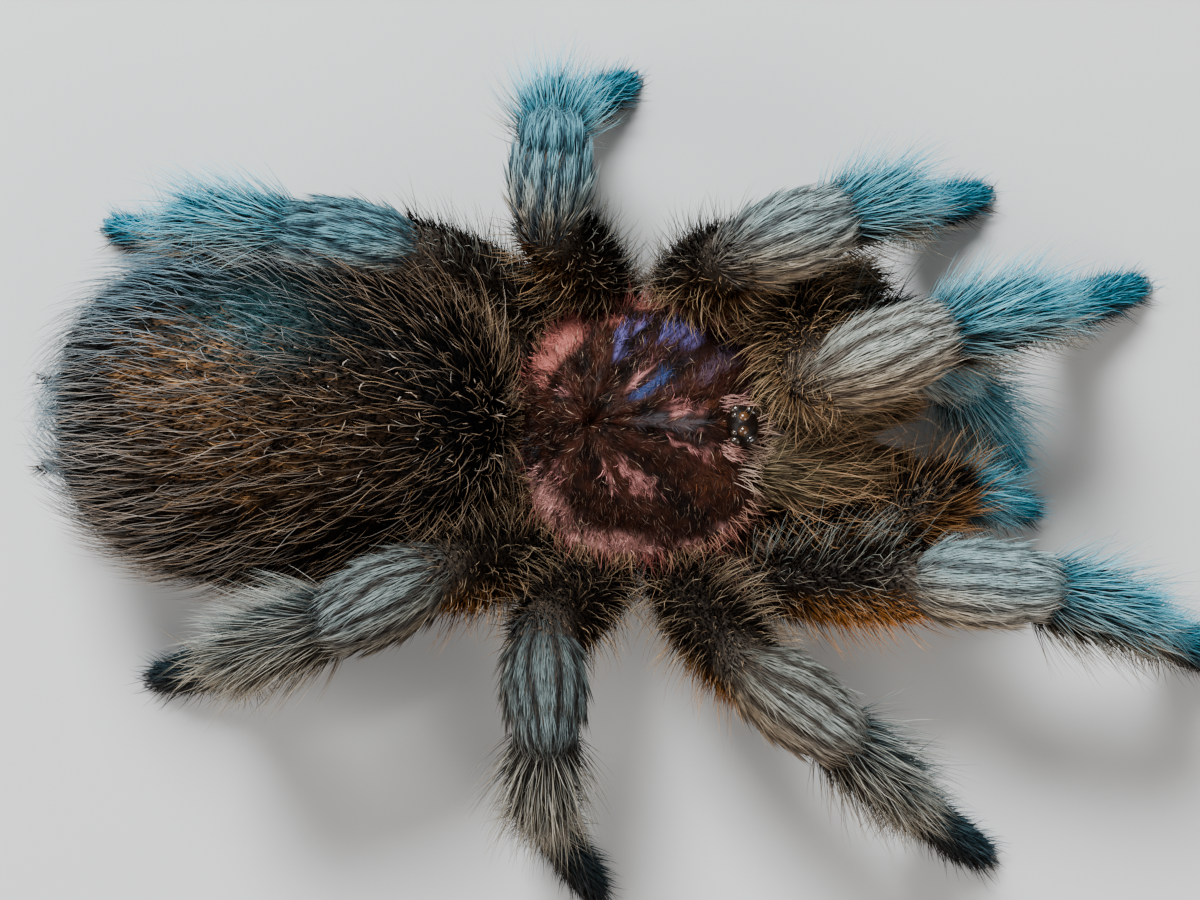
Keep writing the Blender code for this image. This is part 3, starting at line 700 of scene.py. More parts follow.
moundPaint = Paint("eye_mound", Roughness=0.4, Specular_IOR_Level=0.2)
moundNoise = moundPaint.noise(1500, 3.0)
moundPaint.feed(Base_Color=moundPaint.blend(moundNoise, *eyes["moundTones"]))
moundPaint.bump(moundNoise, 0.5, 0.00015)
moundSurface = ball(eyes["mound"], eyes["moundHalf"])
mound = newMesh("eye_mound", *closedGrid(moundSurface, *eyes["moundGrid"]), moundPaint, "eyes")
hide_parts("eyes")
eyePaints = {}
for finish, (inner, outer) in eyes["finishes"].items():
    paint = Paint("eye_" + finish, Roughness=0.05, Coat_Weight=1.0, Coat_Roughness=0.02)
    eyePaints[finish] = paint.feed(Base_Color=paint.blend(paint.noise(1200, 1.0), inner, outer))
for eyeName, (place, radius, longer, finish) in eyes["set"].items():
    for sideName, side in sides.items():
        out = np.array(place) * (1, side, 1)
        centre = np.array(eyes["mound"]) + out * eyes["moundHalf"]
        half = (radius * longer, radius, radius * 0.8)
        newMesh(f"eye_{eyeName}_{sideName}", *closedGrid(ball(centre, half, out), *eyes["grid"]),
                eyePaints[finish], "eyes")


def horn(path, radius, side):
    # A curved horn: path(u) is its middle line, radius(u) its thickness, side the way it stays level.
    def surface(u, v):
        run = unit(path(limited(u + 0.01)) - path(limited(u - 0.01)))
        lift = np.cross(side, run)
        turn = 2 * np.pi * v[..., None]
        return path(u) + radius(u)[..., None] * (np.cos(turn) * lift - np.sin(turn) * side)
    return surface


def taper(thick, tip, root=0.06):
    # Closes quickly at the root, then thins evenly and closes at the point.
    def radius(u):
        opening = np.sqrt(limited(1 - (1 - limited(u / root)) ** 2))
        closing = np.sqrt(limited((1 - u) / 0.05))
        return (thick + (tip - thick) * u) * opening * closing
    return radius


fangKit = {"x": 21.8, "y": 3.0, "z": 4.6, "reach": 5.6, "sag": 1.8, "thick": 0.85, "tip": 0.22,
           "grid": (40, 24), "cloud": 700, "tones": ((0.006, 0.004, 0.004), (0.035, 0.012, 0.008))}
hornPaint = Paint("horn", Base_Color=(0.012, 0.007, 0.006, 1), Roughness=0.14, Coat_Weight=0.6,
                  Coat_Roughness=0.08)
hornNoise = hornPaint.noise(fangKit["cloud"], 2.0)
hornPaint.feed(Base_Color=hornPaint.blend(hornNoise, *fangKit["tones"]))
hornPaint.bump(hornNoise, 0.12, 0.0001)
for sideName, side in sides.items():
    def fangPath(u, side=side):
        x = fangKit["x"] - fangKit["reach"] * u
        z = fangKit["z"] - fangKit["sag"] * np.sin(np.pi * np.minimum(1, u * 1.15 + 0.05))
        return np.stack([x, np.full_like(x, side * fangKit["y"]), z], -1)
    fangSurface = horn(fangPath, taper(fangKit["thick"], fangKit["tip"]), np.array((0.0, 1.0, 0.0)))
    fang = newMesh(f"fang_{sideName}_horn", *closedGrid(fangSurface, *fangKit["grid"]), hornPaint, "fang")
    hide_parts(f"fang_{sideName}")

clawKit = {"length": 1.5, "thick": 0.17, "tip": 0.05, "apart": 0.42, "curl": 0.75,
           "ahead": 0.7, "raised": 0.25, "lowest": 1.05,  # where a claw's root sits on the toe
           "grid": (14, 12), "floor": 0.03}
claws = []
for name, made in limbs.items():
    toe, run, lift, stout = next(shape["toe"] for shape in made if "toe" in shape)
    level = np.cross(run, lift)
    for side in (-1, 1):
        root = toe + run * clawKit["ahead"] * stout + level * (side * clawKit["apart"])
        root = root + lift * clawKit["raised"]
        root[2] = max(root[2], clawKit["lowest"])

        def clawPath(u, root=root, run=run, lift=lift):
            out = clawKit["length"] * np.sin(u * 1.35)[..., None] * run
            down = clawKit["curl"] * (1 - np.cos(u * 1.5))[..., None] * -up
            return root + out + down + lift * (0.2 * np.sin(np.pi * u))[..., None]
        clawSurface = horn(clawPath, taper(clawKit["thick"], clawKit["tip"]), level)
        claws.append(closedGrid(clawSurface, *clawKit["grid"]))
clawPoints, clawFaces = joined(claws)
clawPoints[:, 2] = np.maximum(clawPoints[:, 2], clawKit["floor"])
newMesh("claws", clawPoints, clawFaces, hornPaint, "fang")
print("shell, eyes, fangs and claws done")

# The coat. Every hair is a blade with three sides, rooted on the surface that the skin was made from.

hairKit = {
    "patch": 0.003,  # each hair's patch on the OFBake map
    "sunk": 0.12, "near": 0.002, "samples": 48,  # depth of a root, step for slopes, points round a ring
    "lowestRoot": 0.1, "floor": 0.08, "give": 0.02,  # hair below the floor's height is pressed flat on it
    "cloud": 1400,  # how fine the wander of tone is
}
hairDefaults = {
    "spread": 10, "lock": 10, "lockSize": 1.3,  # random lean, lean shared by a lock, and the lock's size
    "curl": 12, "wave": 0, "steps": 2,  # random bend towards the tip, waves, pieces along the hair
    "even": 0.0, "bias": 1.6, "seed": 1, "trim": None,  # even tone, how rare long hairs are, pattern, trim
}


def hairs(density, length, rise, thick, **more):
    # One kind of hair: how many to a square millimetre, its shortest and longest, its rise at root
    # and tip in degrees, its radius, and whatever differs from the defaults.
    return {**hairDefaults, "density": density, "length": length, "rise": rise, "thick": thick, **more}


def scatter(surface, rows, density, random, low, high):
    # Roots in rings between u = low and high: each ring holds density times its own area, and a
    # root is moved at random inside its cell. Also gives the cells' own middles, for the map.
    step = (high - low) / rows
    u = low + (np.arange(rows) + 0.5) * step
    v = np.arange(hairKit["samples"]) / hairKit["samples"]
    ring, above, below = (surface(*np.broadcast_arrays(limited(u + d)[:, None], v[None, :]))
                          for d in (0, step / 2, -step / 2))
    around = np.linalg.norm(np.roll(ring, -1, 1) - ring, axis=2).sum(1)
    across = np.linalg.norm(above - below, axis=2).mean(1)
    counts = np.maximum(np.round(around * across * density), 3).astype(int)
    row = np.repeat(np.arange(rows), counts)
    column = np.arange(len(row)) - (np.cumsum(counts) - counts)[row]
    cellU, cellV = u[row], (column + 0.5 + 0.5 * (row % 2)) / counts[row]
    rootU = cellU + random.uniform(-0.5, 0.5, len(row)) * step
    rootV = cellV + random.uniform(-0.5, 0.5, len(row)) / counts[row]
    return np.clip(rootU, 0.004, 0.996), rootV % 1, cellU, cellV % 1


class Roots:  # the roots of one patch of hair, and the random numbers that its looks draw
    def __init__(self, surface, u, v, random):
        # Place, outward normal and unit tangent along u, by small differences.
        near = hairKit["near"]
        alongU = surface(u + near, v) - surface(u - near, v)
        alongV = surface(u, v + near) - surface(u, v - near)
        self.points, self.u, self.v, self.random = surface(u, v), u, v, random
        self.normals, self.flow = unit(np.cross(alongV, alongU)), unit(alongU)

    def only(self, kept):
        for key in ("points", "normals", "flow", "u", "v"):
            setattr(self, key, getattr(self, key)[kept])

    def draw(self):  # one number from 0 to 1 for each hair
        return self.random.random(len(self.u))

    def shade(self, low, high):  # one number for each hair, as a column to multiply colours with
        return self.random.uniform(low, high, (len(self.u), 1))

    def below(self):  # 0 along the back of a limb, 1 along its underside
        return np.abs((self.v + 0.5) % 1 - 0.5) * 2


def blades(at, length, thick, rises, turns, wave, steps):
    # Each hair is a chain of equal steps; a step's heading lies between flow and normal by its
    # rise, and is turned about the normal; three corners to a ring, one point at the tip.
    side = np.cross(at.normals, at.flow)
    place = at.points - at.normals * hairKit["sunk"]
    rings = []
    phase = at.points.sum(1) * 3.7
    for k in range(steps):
        share = (k + 0.5) / steps
        rise = np.radians(rises[0] + (rises[1] - rises[0]) * share)
        turn = np.radians(turns[0] + (turns[1] - turns[0]) * share + wave * np.sin(phase + 5.0 * share))
        lying = at.flow * np.cos(turn)[:, None] + side * np.sin(turn)[:, None]
        run = lying * np.cos(rise)[:, None] + at.normals * np.sin(rise)[:, None]
        across = unit(np.cross(run, at.normals) + side * 1e-4)
        third = np.cross(run, across)
        radius = (thick * (1 - (k / steps) ** 1.5))[:, None]
        for corner in (0.25, 0.25 + 1 / 3, 0.25 + 2 / 3):
            angle = 2 * np.pi * corner
            rings.append(place + radius * (math.cos(angle) * across + math.sin(angle) * third))
        place = place + run * (length / steps)[:, None]
    rings.append(place)
    return np.stack(rings, 1)


def bladeFaces(steps):
    # Triangles of one hair: walls from ring to ring, three at the tip, one closing the root.
    faces = [(0, 2, 1)]
    for k in range(steps - 1):
        for j in range(3):
            a, b = 3 * k + j, 3 * k + (j + 1) % 3
            faces += [(a, b, b + 3), (a, b + 3, a + 3)]
    last = 3 * (steps - 1)
    faces += [(last + j, last + (j + 1) % 3, last + 3) for j in range(3)]
    return np.array(faces)


class Coat:  # hairs gathered for one piece
    def __init__(self, name, slotName, random):
        self.name, self.slotName, self.random = name, slotName, random
        self.points, self.faces, self.uv = [], [], []
        # the root colour of each hair is darker than its tip: painted shade among the hairs
        self.marks = {"hairRootShaded": [], "hairTip": [], "along": [], "chance": []}
        self.count = 0

    def grow(self, surface, style, colours, rows, unwrap, low=0.0, high=1.0, comb=None, keep=None):
        # One patch of hair on a surface. colours gives the root colours, darker as painted shade, and the tip
        # colours of its roots, comb turns their flow, keep says which of them stay, unwrap is the patch's
        # strip of the map.
        u, v, cellU, cellV = scatter(surface, rows, style["density"], self.random, low, high)
        at = Roots(surface, u, v, self.random)
        kept = ~buried(at.points) & (at.points[:, 2] > hairKit["lowestRoot"])
        if keep is not None:
            kept &= keep(at)
        at.only(kept)
        cellU, cellV = cellU[kept], cellV[kept]
        n = len(cellU)
        if comb is not None:
            flow = comb(at)
            at.flow = unit(flow - at.normals * (flow * at.normals).sum(1)[:, None])
        chance = 0.7 * at.draw() + 0.3 * (0.5 + 0.6 * sway(at.points, 1.5, 31))
        chance = limited(chance * (1 - style["even"]) + 0.6 * style["even"])
        lengthShare = at.draw() ** style["bias"]
        length = style["length"][0] + (style["length"][1] - style["length"][0]) * lengthShare
        if style["trim"] is not None:
            length = length * style["trim"](at)
        spread, lock, size, seed = (style[key] for key in ("spread", "lock", "lockSize", "seed"))
        riseShift = self.random.normal(0, spread * 0.5, n) + lock * 0.5 * sway(at.points, size, seed)
        turnShift = self.random.normal(0, spread, n) + lock * sway(at.points, size, seed + 1)
        curl = self.random.normal(0, style["curl"], n)
        rises = (np.clip(style["rise"][0] + riseShift, 4, 88), np.clip(style["rise"][1] + riseShift, -4, 88))
        thick = style["thick"] * (0.7 + 0.5 * lengthShare)
        steps = style["steps"]
        points = blades(at, length, thick, rises, (turnShift, turnShift + curl), style["wave"], steps)
        floorHeight = hairKit["floor"]
        height = points[..., 2]
        points[..., 2] = np.where(height < floorHeight,
                                  floorHeight + hairKit["give"] * (height - floorHeight), height)
        shadedRootColour, tipColour = colours(at)
        perHair = 3 * steps + 1
        along = np.append(np.repeat(np.arange(steps) / steps, 3), 1.0)
        faces = bladeFaces(steps)[None] + (np.arange(n) * perHair)[:, None, None]
        self.points.append(points.reshape(-1, 3))
        self.faces.append(faces.reshape(-1, 3) + self.count)
        acrossPatch = np.append(np.tile((0.0, 0.5, 1.0), steps), 0.5)
        upPatch = along * 0.9 + np.append(np.tile((0.0, 0.1, 0.0), steps), 0.0)
        mapU = unwrap[0] + (unwrap[1] - unwrap[0]) * (cellU - low) / (high - low)
        corner = np.stack([mapU, cellV], 1)[:, None] * (1 - 1.2 * hairKit["patch"])
        self.uv.append((corner + np.stack([acrossPatch, upPatch], 1)[None] * hairKit["patch"]).reshape(-1, 2))
        for key, values in (("hairRootShaded", shadedRootColour), ("hairTip", tipColour), ("chance", chance)):
            self.marks[key].append(np.repeat(values, perHair, 0))
        self.marks["along"].append(np.tile(along, n))
        self.count += n * perHair

    def finish(self):
        marks = {key: np.concatenate(values) for key, values in self.marks.items()}
        faces = np.vstack(self.faces)
        newMesh(self.name, np.vstack(self.points), faces, coatPaints[self.slotName], self.slotName,
                np.vstack(self.uv), marks)
        print(self.name, "triangles:", len(faces))


def coatPaint(name, roughness, shine):
    # Root colour to tip colour along the hair, the darker roots being painted shade among the hairs; each
    # hair a little lighter or darker than the next.
    paint = Paint(name, Roughness=roughness, Specular_IOR_Level=shine)
    along = paint.attribute("along")
    chance = paint.attribute("chance")
    share = along * along * (3 - 2 * along)
    colour = paint.blend(share, paint.attribute("hairRootShaded", "Color"), paint.attribute("hairTip", "Color"))
    shade = 0.55 + 0.75 * chance + 0.3 * (paint.noise(hairKit["cloud"], 1.0) - 0.5)
    paint.feed(Base_Color=paint.shaded(colour, shade))
    return paint


coatPaints = {
    "leg_coat": coatPaint("leg_coat", 0.6, 0.06), "abdomen_coat": coatPaint("abdomen_coat", 0.65, 0.03),
    "jaw_coat": coatPaint("jaw_coat", 0.55, 0.1), "carapace": coatPaint("shell_hair", 0.5, 0.06),
    "skin": coatPaint("underside_hair", 0.7, 0.03),
}

legCoat = {  # under: the dense coat; over: long hairs that stand out of it
    "coxa": {
        "under": hairs(8, (0.9, 2.0), (42, 20), 0.075, spread=16, steps=1),
        "over": hairs(3.2, (2.4, 5.0), (62, 22), 0.042, spread=18, curl=26, steps=3),
    },
    "haunch": {
        "under": hairs(9, (1.2, 2.6), (48, 24), 0.075, spread=16, steps=1),
        "over": hairs(4.5, (2.6, 5.0), (56, 18), 0.040, spread=16, curl=26, steps=3),
    },
    "femur": {
        "under": hairs(12, (1.0, 2.4), (52, 30), 0.075, spread=15, steps=1),
        "over": hairs(2.7, (3.2, 6.0), (66, 34), 0.040, curl=26, spread=12, steps=3),
    },
    "patella": {
        "under": hairs(15, (1.8, 3.2), (14, 0), 0.068, spread=3, lock=4, curl=6, lockSize=3.0, even=0.65),
        "over": hairs(0.8, (2.0, 3.6), (26, 8), 0.042, spread=8, curl=14, steps=3),
    },
    "tibia": {
        "under": hairs(9, (1.3, 2.8), (30, 14), 0.066, spread=8),
        "over": hairs(5.6, (3.6, 7.2), (42, 26), 0.042, spread=8, curl=14, steps=3),
    },
    "metatarsus": {
        "under": hairs(12, (1.0, 2.2), (36, 18), 0.065, spread=9, steps=1),
        "over": hairs(5.5, (2.4, 5.0), (46, 28), 0.042, curl=14, steps=3),
    },
    "tarsus": {
        "under": hairs(22, (0.8, 1.7), (46, 20), 0.06, spread=12, steps=1),
        "over": hairs(4.5, (1.6, 3.2), (54, 28), 0.042, spread=12, steps=3),
    },
    # between rows of roots, each layer's strip of the map, and what differs on the palps
    "rowGap": {"under": 0.32, "over": 0.64}, "strips": {"under": (0.0, 0.66), "over": (0.68, 1.0)},
    "longer": {"palp_left": 1.3}, "denser": {"palp_left": 1.45, "palp_right": 1.3},
}
limbLooks = {
    "black": (0.0016, 0.0011, 0.0008), "umber": (0.028, 0.016, 0.010), "tan": (0.60, 0.34, 0.16),
    "orange": (0.90, 0.34, 0.075), "beige": (0.64, 0.50, 0.33), "bone": (0.84, 0.75, 0.62),
    # the blue and teal colours here (root, teal, ice, frost, glacier, slate) are painted blue light, which
    # hairs take where they face it
    "stripe": (0.15, 0.085, 0.042), "blueLightRoot": (0.003, 0.018, 0.026), "blueLightTeal": (0.015, 0.52, 0.78),
    "blueLightIce": (0.09, 0.72, 1.0), "blueLightFrost": (0.46, 0.92, 1.0), "dusk": (0.10, 0.088, 0.080),
    "blueLightGlacier": (0.24, 0.60, 0.72), "rose": (0.72, 0.36, 0.26), "slate": (0.030, 0.070, 0.105),
    # how light the hair of the haunches is
    "haunches": {"leg_left_1": 1.5, "leg_left_2": 0.8, "leg_left_4": 0.15, "leg_right_4": 1.6},
    # how much painted warm light, in orange, the femur takes on its side that faces -y
    "warmLight": {"leg_right_1": 1.0, "leg_right_2": 0.5, "leg_right_4": 0.4, "palp_right": 0.6},
    # how pale each knee is, how deep its stripes, how much painted blue light
    "knees": {
        "leg_left_1": (1.0, 0.85, 0.32), "leg_left_2": (0.95, 0.85, 0.55), "leg_left_3": (0.62, 0.90, 1.0),
        "leg_left_4": (0.55, 0.9, 0.95), "leg_right_1": (0.95, 0.75, 0.60), "leg_right_2": (0.56, 0.85, 0.30),
        "leg_right_3": (0.34, 0.95, 0.5), "leg_right_4": (0.50, 0.95, 0.45), "palp_left": (0.7, 0.7, 0.9),
    },
}
blueLightFrom = unit(np.array((0.15, 0.85, 0.5)))  # the way the painted blue light comes from; pale hairs that face it take its colour


def kneeColours(at, looks, limb, turn, facing):
    # Pale locks with dark stripes between them; painted blue light, glacier and slate, on the side facing the
    # blue light, and painted warm light, in tan, on the side away from it.
    pale, stripes, kneeBlueLight = limbLooks["knees"][limb]
    wander = 1.8 * sway(at.points, 9.0, 21)
    stripe = 0.5 + 0.5 * np.cos(turn * 12 + wander + 1.2 * np.sin(2 * np.pi * at.v))
    bright = (1 - stripes * limited(1.25 - stripe * 2.2)) * limited(0.1 + at.u * 3)
    light = mixed(looks["beige"], looks["bone"], at.u) * pale
    light = mixed(light, looks["blueLightGlacier"] * pale, kneeBlueLight * limited(0.3 + 0.8 * facing + 0.7 * at.u))
    light = mixed(light, looks["tan"] * 1.1 * pale, (1 - kneeBlueLight) * np.clip(0.4 - 0.9 * facing, 0, 0.6))
    dark = mixed(looks["stripe"], looks["slate"], kneeBlueLight) * min(pale, 1)
    return mixed(dark * 0.5, light * 0.6, bright), mixed(dark, light, bright)


def femurColours(at, looks, limb, long, chance, blueLitShare, black):
    # Near black with tan tips, painted warm light in orange on the side of some that faces -y, and painted
    # blue light in frost where they face the blue light.
    warmLight = limbLooks["warmLight"].get(limb, 0.1)
    warmLit = limited((at.u - 0.25) / 0.3) * limited(-1.4 * at.normals[:, 1] - 0.3) * warmLight
    pale = limb == "leg_left_1"
    if not long:
        tip = mixed(looks["black"], looks["tan" if pale else "umber"], chance ** 2)
        return mixed(black, looks["orange"], warmLit * 0.2), mixed(tip, looks["orange"], warmLit * 0.8)
    tip = mixed(looks["tan"], looks["beige"], chance * 0.7) * at.shade(0.35, 1.0)
    tip = mixed(tip, looks["orange"], warmLit * 0.7)
    if pale:
        return tip * 0.25, tip * 1.5
    if limb == "palp_right":
        return mixed(black, looks["umber"], chance), mixed(tip, looks["orange"], chance * 0.4)
    return mixed(black, looks["umber"], chance), mixed(tip, looks["blueLightFrost"], blueLitShare * 0.3)


def shinColours(at, looks, limb, long, chance, blueLitShare, blueLightAmount, turn, root):
    # Beige and bone, with painted blue light, ice and then teal towards the foot, on the side that faces the
    # blue light.
    if not long:
        tip = mixed(looks["umber"], looks["beige"], 0.25 * chance ** 2) * 0.8
        return root, mixed(tip, looks["blueLightIce"] * 0.6, blueLitShare * at.draw())
    tip = mixed(looks["beige"], looks["bone"], chance) * at.shade(0.3 + 0.1 * min(blueLightAmount, 1), 1.0)
    tip = mixed(tip, looks["tan"], limited(turn - 1.5) * (1 - blueLitShare) * 0.8)
    blueLitTone = mixed(looks["blueLightIce"], looks["blueLightFrost"], limited(0.45 + 0.7 * chance - 0.4 * at.u))
    tip = mixed(tip, blueLitTone, limited(blueLitShare * 1.35) * (0.6 if limb == "palp_left" else 1))
    root = mixed(root, looks["blueLightIce"] * 0.35, blueLitShare * 0.7)
    return root, mixed(tip, looks["blueLightTeal"], blueLitShare * limited(at.u - 0.4) * at.draw())


def footColours(at, looks, limb, segment, long, chance, blueLitShare, root):
    # Beige that darkens towards the toe, with painted blue light, ice and then teal, and brighter short
    # hairs, on the side that faces the blue light.
    far = 0.55 + 0.4 * at.u if segment == "tarsus" and limb != "palp_left" else 0.1 + 0.5 * at.u
    tip = mixed(looks["beige"] * 0.75, looks["dusk"], limited(far * 1.3)) * at.shade(0.4, 1.0)
    tip = mixed(tip, mixed(looks["blueLightIce"], looks["blueLightTeal"], far), limited(blueLitShare * 1.6))
    if not long:
        tip = tip * (0.2 + 0.15 * blueLitShare + (0.5 + 0.3 * blueLitShare) * chance)[:, None]
    return root, mixed(tip, looks["blueLightFrost"], chance * blueLitShare * 0.4 * long)


def limbColours(at, limb, segment, layer, blueLightAmount):
    # Root and tip colours of the hairs of one layer of one segment.
    looks = {key: np.array(value) for key, value in limbLooks.items() if isinstance(value, tuple)}
    long = layer == "over"
    chance = at.draw()
    turn = at.below() * np.pi
    # how far each hair faces the blue light, and how much painted blue light its colour takes
    facing = at.normals @ blueLightFrom
    blueLitShare = limited((0.4 + 0.9 * facing) * min(blueLightAmount, 1) + max(blueLightAmount - 1, 0))
    black = np.tile(looks["black"], (len(chance), 1))
    if segment == "haunch":
        # painted light: beige in place of tan where the hair faces the blue light
        tip = mixed(looks["tan"], looks["beige"], blueLitShare * 2) * limbLooks["haunches"][limb] * at.shade(0.3, 1.1)
        tip = mixed(looks["umber"], tip, chance ** (0.4 if long else 2.0))
        return tip * 0.25, tip
    if segment == "coxa":
        tip = mixed(looks["umber"], looks["rose"], chance * (0.8 if long else 0.15))
        return black, mixed(tip, looks["tan"], at.draw() * 0.6 * long) * 0.8
    if segment == "femur":
        return femurColours(at, looks, limb, long, chance, blueLitShare, black)
    if segment == "patella":
        return kneeColours(at, looks, limb, turn, facing)
    # dark roots as painted shade, with painted blue light where they face it
    root = mixed(looks["umber"] * 0.6, looks["blueLightRoot"], blueLitShare) * 0.5
    if segment == "tibia":
        return shinColours(at, looks, limb, long, chance, blueLitShare, blueLightAmount, turn, root)
    return footColours(at, looks, limb, segment, long, chance, blueLitShare, root)


def shorterBelow(at):
    # Full length on the back and sides, two thirds of it underneath.
    return 1 - 0.35 * limited((at.below() - 0.55) / 0.3)


def clearOfKnee(at):
    # As above, and cropped where the back meets the knee, so that the next segment shows.
    return shorterBelow(at) * (1 - 0.6 * limited((at.u - 0.68) / 0.14) * (at.below() < 0.45))


def thinnerBelow(at):
    return at.draw() > 0.45 * (at.below() > 0.62)


for number, (name, made) in enumerate(limbs.items()):
    coat = Coat("coat_" + name, "leg_coat", np.random.default_rng(100 + number))
    total = sum(shape["length"] for shape in made)
    strip = 0.0
    for shape in made:
        share = shape["length"] / total
        bristly = (name, shape["name"]) == ("palp_right", "patella")  # this knee has no pale locks
        kind = "femur" if bristly else shape["name"]
        for layer, (start, end) in legCoat["strips"].items():
            style = dict(legCoat[kind][layer], seed=10 * number + 7,
                         trim=clearOfKnee if kind == "femur" and not bristly else shorterBelow)
            style["length"] = tuple(value * legCoat["longer"].get(name, 1.0) for value in style["length"])
            style["density"] *= legCoat["denser"].get(name, 1.0)
            coat.grow(shape["surface"], style,
                      lambda at: limbColours(at, name, kind, layer, shape["blueLightAmount"]),
                      max(5, round(shape["length"] * 1.3 / legCoat["rowGap"][layer])),
                      (strip + share * start, strip + share * end), keep=thinnerBelow)
        strip += share
    coat.finish()
print("limbs done")

# Abdomen: a dark velvet of short hair, then long pale hairs that flow back over it.
abdomenCoat = {
    "short": hairs(11, (0.8, 2.0), (40, 14), 0.070, spread=14, lock=14, curl=22, lockSize=2.2, steps=1),
    "middle": hairs(0.9, (1.6, 3.0), (40, 6), 0.036, spread=14, lock=16, curl=30),
    "long": hairs(2.5, (3.2, 7.2), (42, 0), 0.036, bias=1.3, spread=5, lock=9, wave=9, steps=4, lockSize=5.0),
    "front": hairs(1.0, (1.8, 3.6), (74, 20), 0.040, spread=12, curl=34, steps=3),
    "fleck": hairs(0.35, (0.8, 1.7), (30, 10), 0.085, spread=70, curl=70, steps=3),
    # ice: painted blue light on the long hairs
    "tan": (0.50, 0.32, 0.19), "pale": (0.66, 0.58, 0.52), "blueLightIce": (0.20, 0.52, 0.70),
    "straw": (0.80, 0.55, 0.30),
}


def between(first, second, rootShade, most=1):
    # Colours for hairs whose tips lie anywhere between two tones, with roots that much darker as painted
    # shade.
    def colours(at):
        tip = mixed(first, second, at.draw() * most)
        return tip * rootShade, tip
    return colours


def velvetColours(at):
    # Dark velvet, in which more and more hairs are golden towards the patch.
    golden = at.draw() < patchShare(at.points) * limited(0.45 + 1.1 * sway(at.points, 1.4, 6))
    gold = mixed(abdomenLooks["gold"], abdomenCoat["straw"], at.draw() ** 3) * at.shade(0.1, 1.1)
    tip = np.where(golden[:, None], gold, abdomenGround(at.points) * at.shade(0.5, 2.2))
    return tip * 0.4, tip


def longColours(at):
    # Tan in front and paler behind, with painted blue light on the side facing it, at the rear end and over
    # the painted teal sheen.
    pale = limited(at.u * 1.2 - 0.3 + at.random.normal(0, 0.3, len(at.u)))
    tip = mixed(abdomenCoat["tan"], abdomenCoat["pale"], pale) * at.shade(0.25, 1.05)
    blueLitShare = limited(at.normals @ blueLightFrom) ** 2.5 * limited((at.u - 0.35) * 3)
    blueLitShare = np.maximum(blueLitShare, 0.5 * limited((at.u - 0.74) * 5))
    tip = mixed(tip, abdomenCoat["blueLightIce"], np.maximum(blueLitShare, 0.7 * sheenShare(at.points)))
    return tip * 0.15, tip


def combBack(at):
    # Back along the body, fanning away from its middle line.
    across = at.points[:, 1]
    fan = np.stack([-np.ones(len(across)), 0.045 * (across - 0.3), np.zeros(len(across))], 1)
    return at.flow * 0.6 + fan * 0.4


def thinUnderPatch(at):
    # Half as many underneath, few over the golden patch and the painted teal sheen, and fewer in front.
    dense = np.where(at.normals[:, 2] < -0.3, 0.5, 1.0) * (1 - 0.72 * patchShare(at.points))
    dense = dense * (1 - 0.65 * sheenShare(at.points)) * (0.36 + 0.64 * limited((at.u - 0.38) * 3.2))
    return at.draw() < dense


def alongBack(at):
    # Only in a band down the middle of the back, most of all in front.
    return at.draw() < bellCurve(at.points[:, 1], 5.0) * limited((0.72 - at.u) * 3) * (at.normals[:, 2] > 0)


random = np.random.default_rng(7)
coat = Coat("coat_abdomen", "abdomen_coat", random)
coat.grow(abdomen["surface"], abdomenCoat["short"], velvetColours, 120, (0.0, 0.78), comb=combBack)
coat.grow(abdomen["surface"], abdomenCoat["fleck"], between(abdomenCoat["tan"], abdomenCoat["pale"], 0.5),
          24, (0.8, 1.0), comb=combBack, keep=alongBack)
coat.finish()
coat = Coat("coat_abdomen_long", "abdomen_coat", random)
coat.grow(abdomen["surface"], abdomenCoat["middle"], longColours, 60, (0.0, 0.3), comb=combBack)
coat.grow(abdomen["surface"], abdomenCoat["long"], longColours, 90, (0.32, 0.9), comb=combBack,
          keep=thinUnderPatch)
coat.grow(abdomen["surface"], abdomenCoat["front"], longColours, 30, (0.92, 1.0), high=0.3)
coat.finish()

# Shell: fine down that radiates from the fovea, a fringe round the rim, curled hairs over the jaws.
shellCoat = {
    "down": hairs(35, (0.6, 1.5), (26, 6), 0.030, spread=20, lock=26, curl=34, lockSize=2.2),
    "fringe": hairs(13, (1.4, 3.4), (38, 2), 0.036, spread=14, lock=12, curl=34, steps=3),
    "brow": hairs(12, (2.2, 3.4), (74, -24), 0.048, spread=8, lock=8, curl=40, steps=4),
    "tuft": hairs(26, (0.9, 1.8), (42, 18), 0.045, spread=14, curl=20),
    # glint: a painted highlight, the colour of a few hairs that stand in for glints of light
    "tan": (0.60, 0.36, 0.20), "blush": (0.95, 0.64, 0.49), "paintedGlint": (0.80, 0.56, 0.38),
    "dust": (0.22, 0.13, 0.095),
}


def combOutward(at):
    # From the fovea outward, and straight away from the middle line on the front half.
    across = at.points[:, 1] / (np.abs(at.points[:, 1]) + 0.8)
    sideways = np.stack([np.zeros(len(across)), across, np.zeros(len(across))], 1)
    return mixed(at.flow, sideways, np.clip((at.points[:, 0] + 1.5) / 5, 0, 0.8))


def downColours(at):
    # Hair by hair either the dark ground or the streak's colour, a few dusty, a few painted glints, and roots
    # darker as painted shade.
    ground, bright, amount = shellMarking(at.u, -2 * np.pi * at.v, at.points)
    streaked = at.draw() < amount
    dull = ground * at.shade(0.4, 2.6)
    dull = np.where((at.draw() < 0.16)[:, None], shellCoat["dust"], dull)
    tip = np.where(streaked[:, None], bright * at.shade(0.5, 1.2), dull)
    tip = np.where((at.draw() < 0.012)[:, None], shellCoat["paintedGlint"], tip)
    return tip * np.where(streaked, 0.75, 0.4)[:, None], limited(tip)


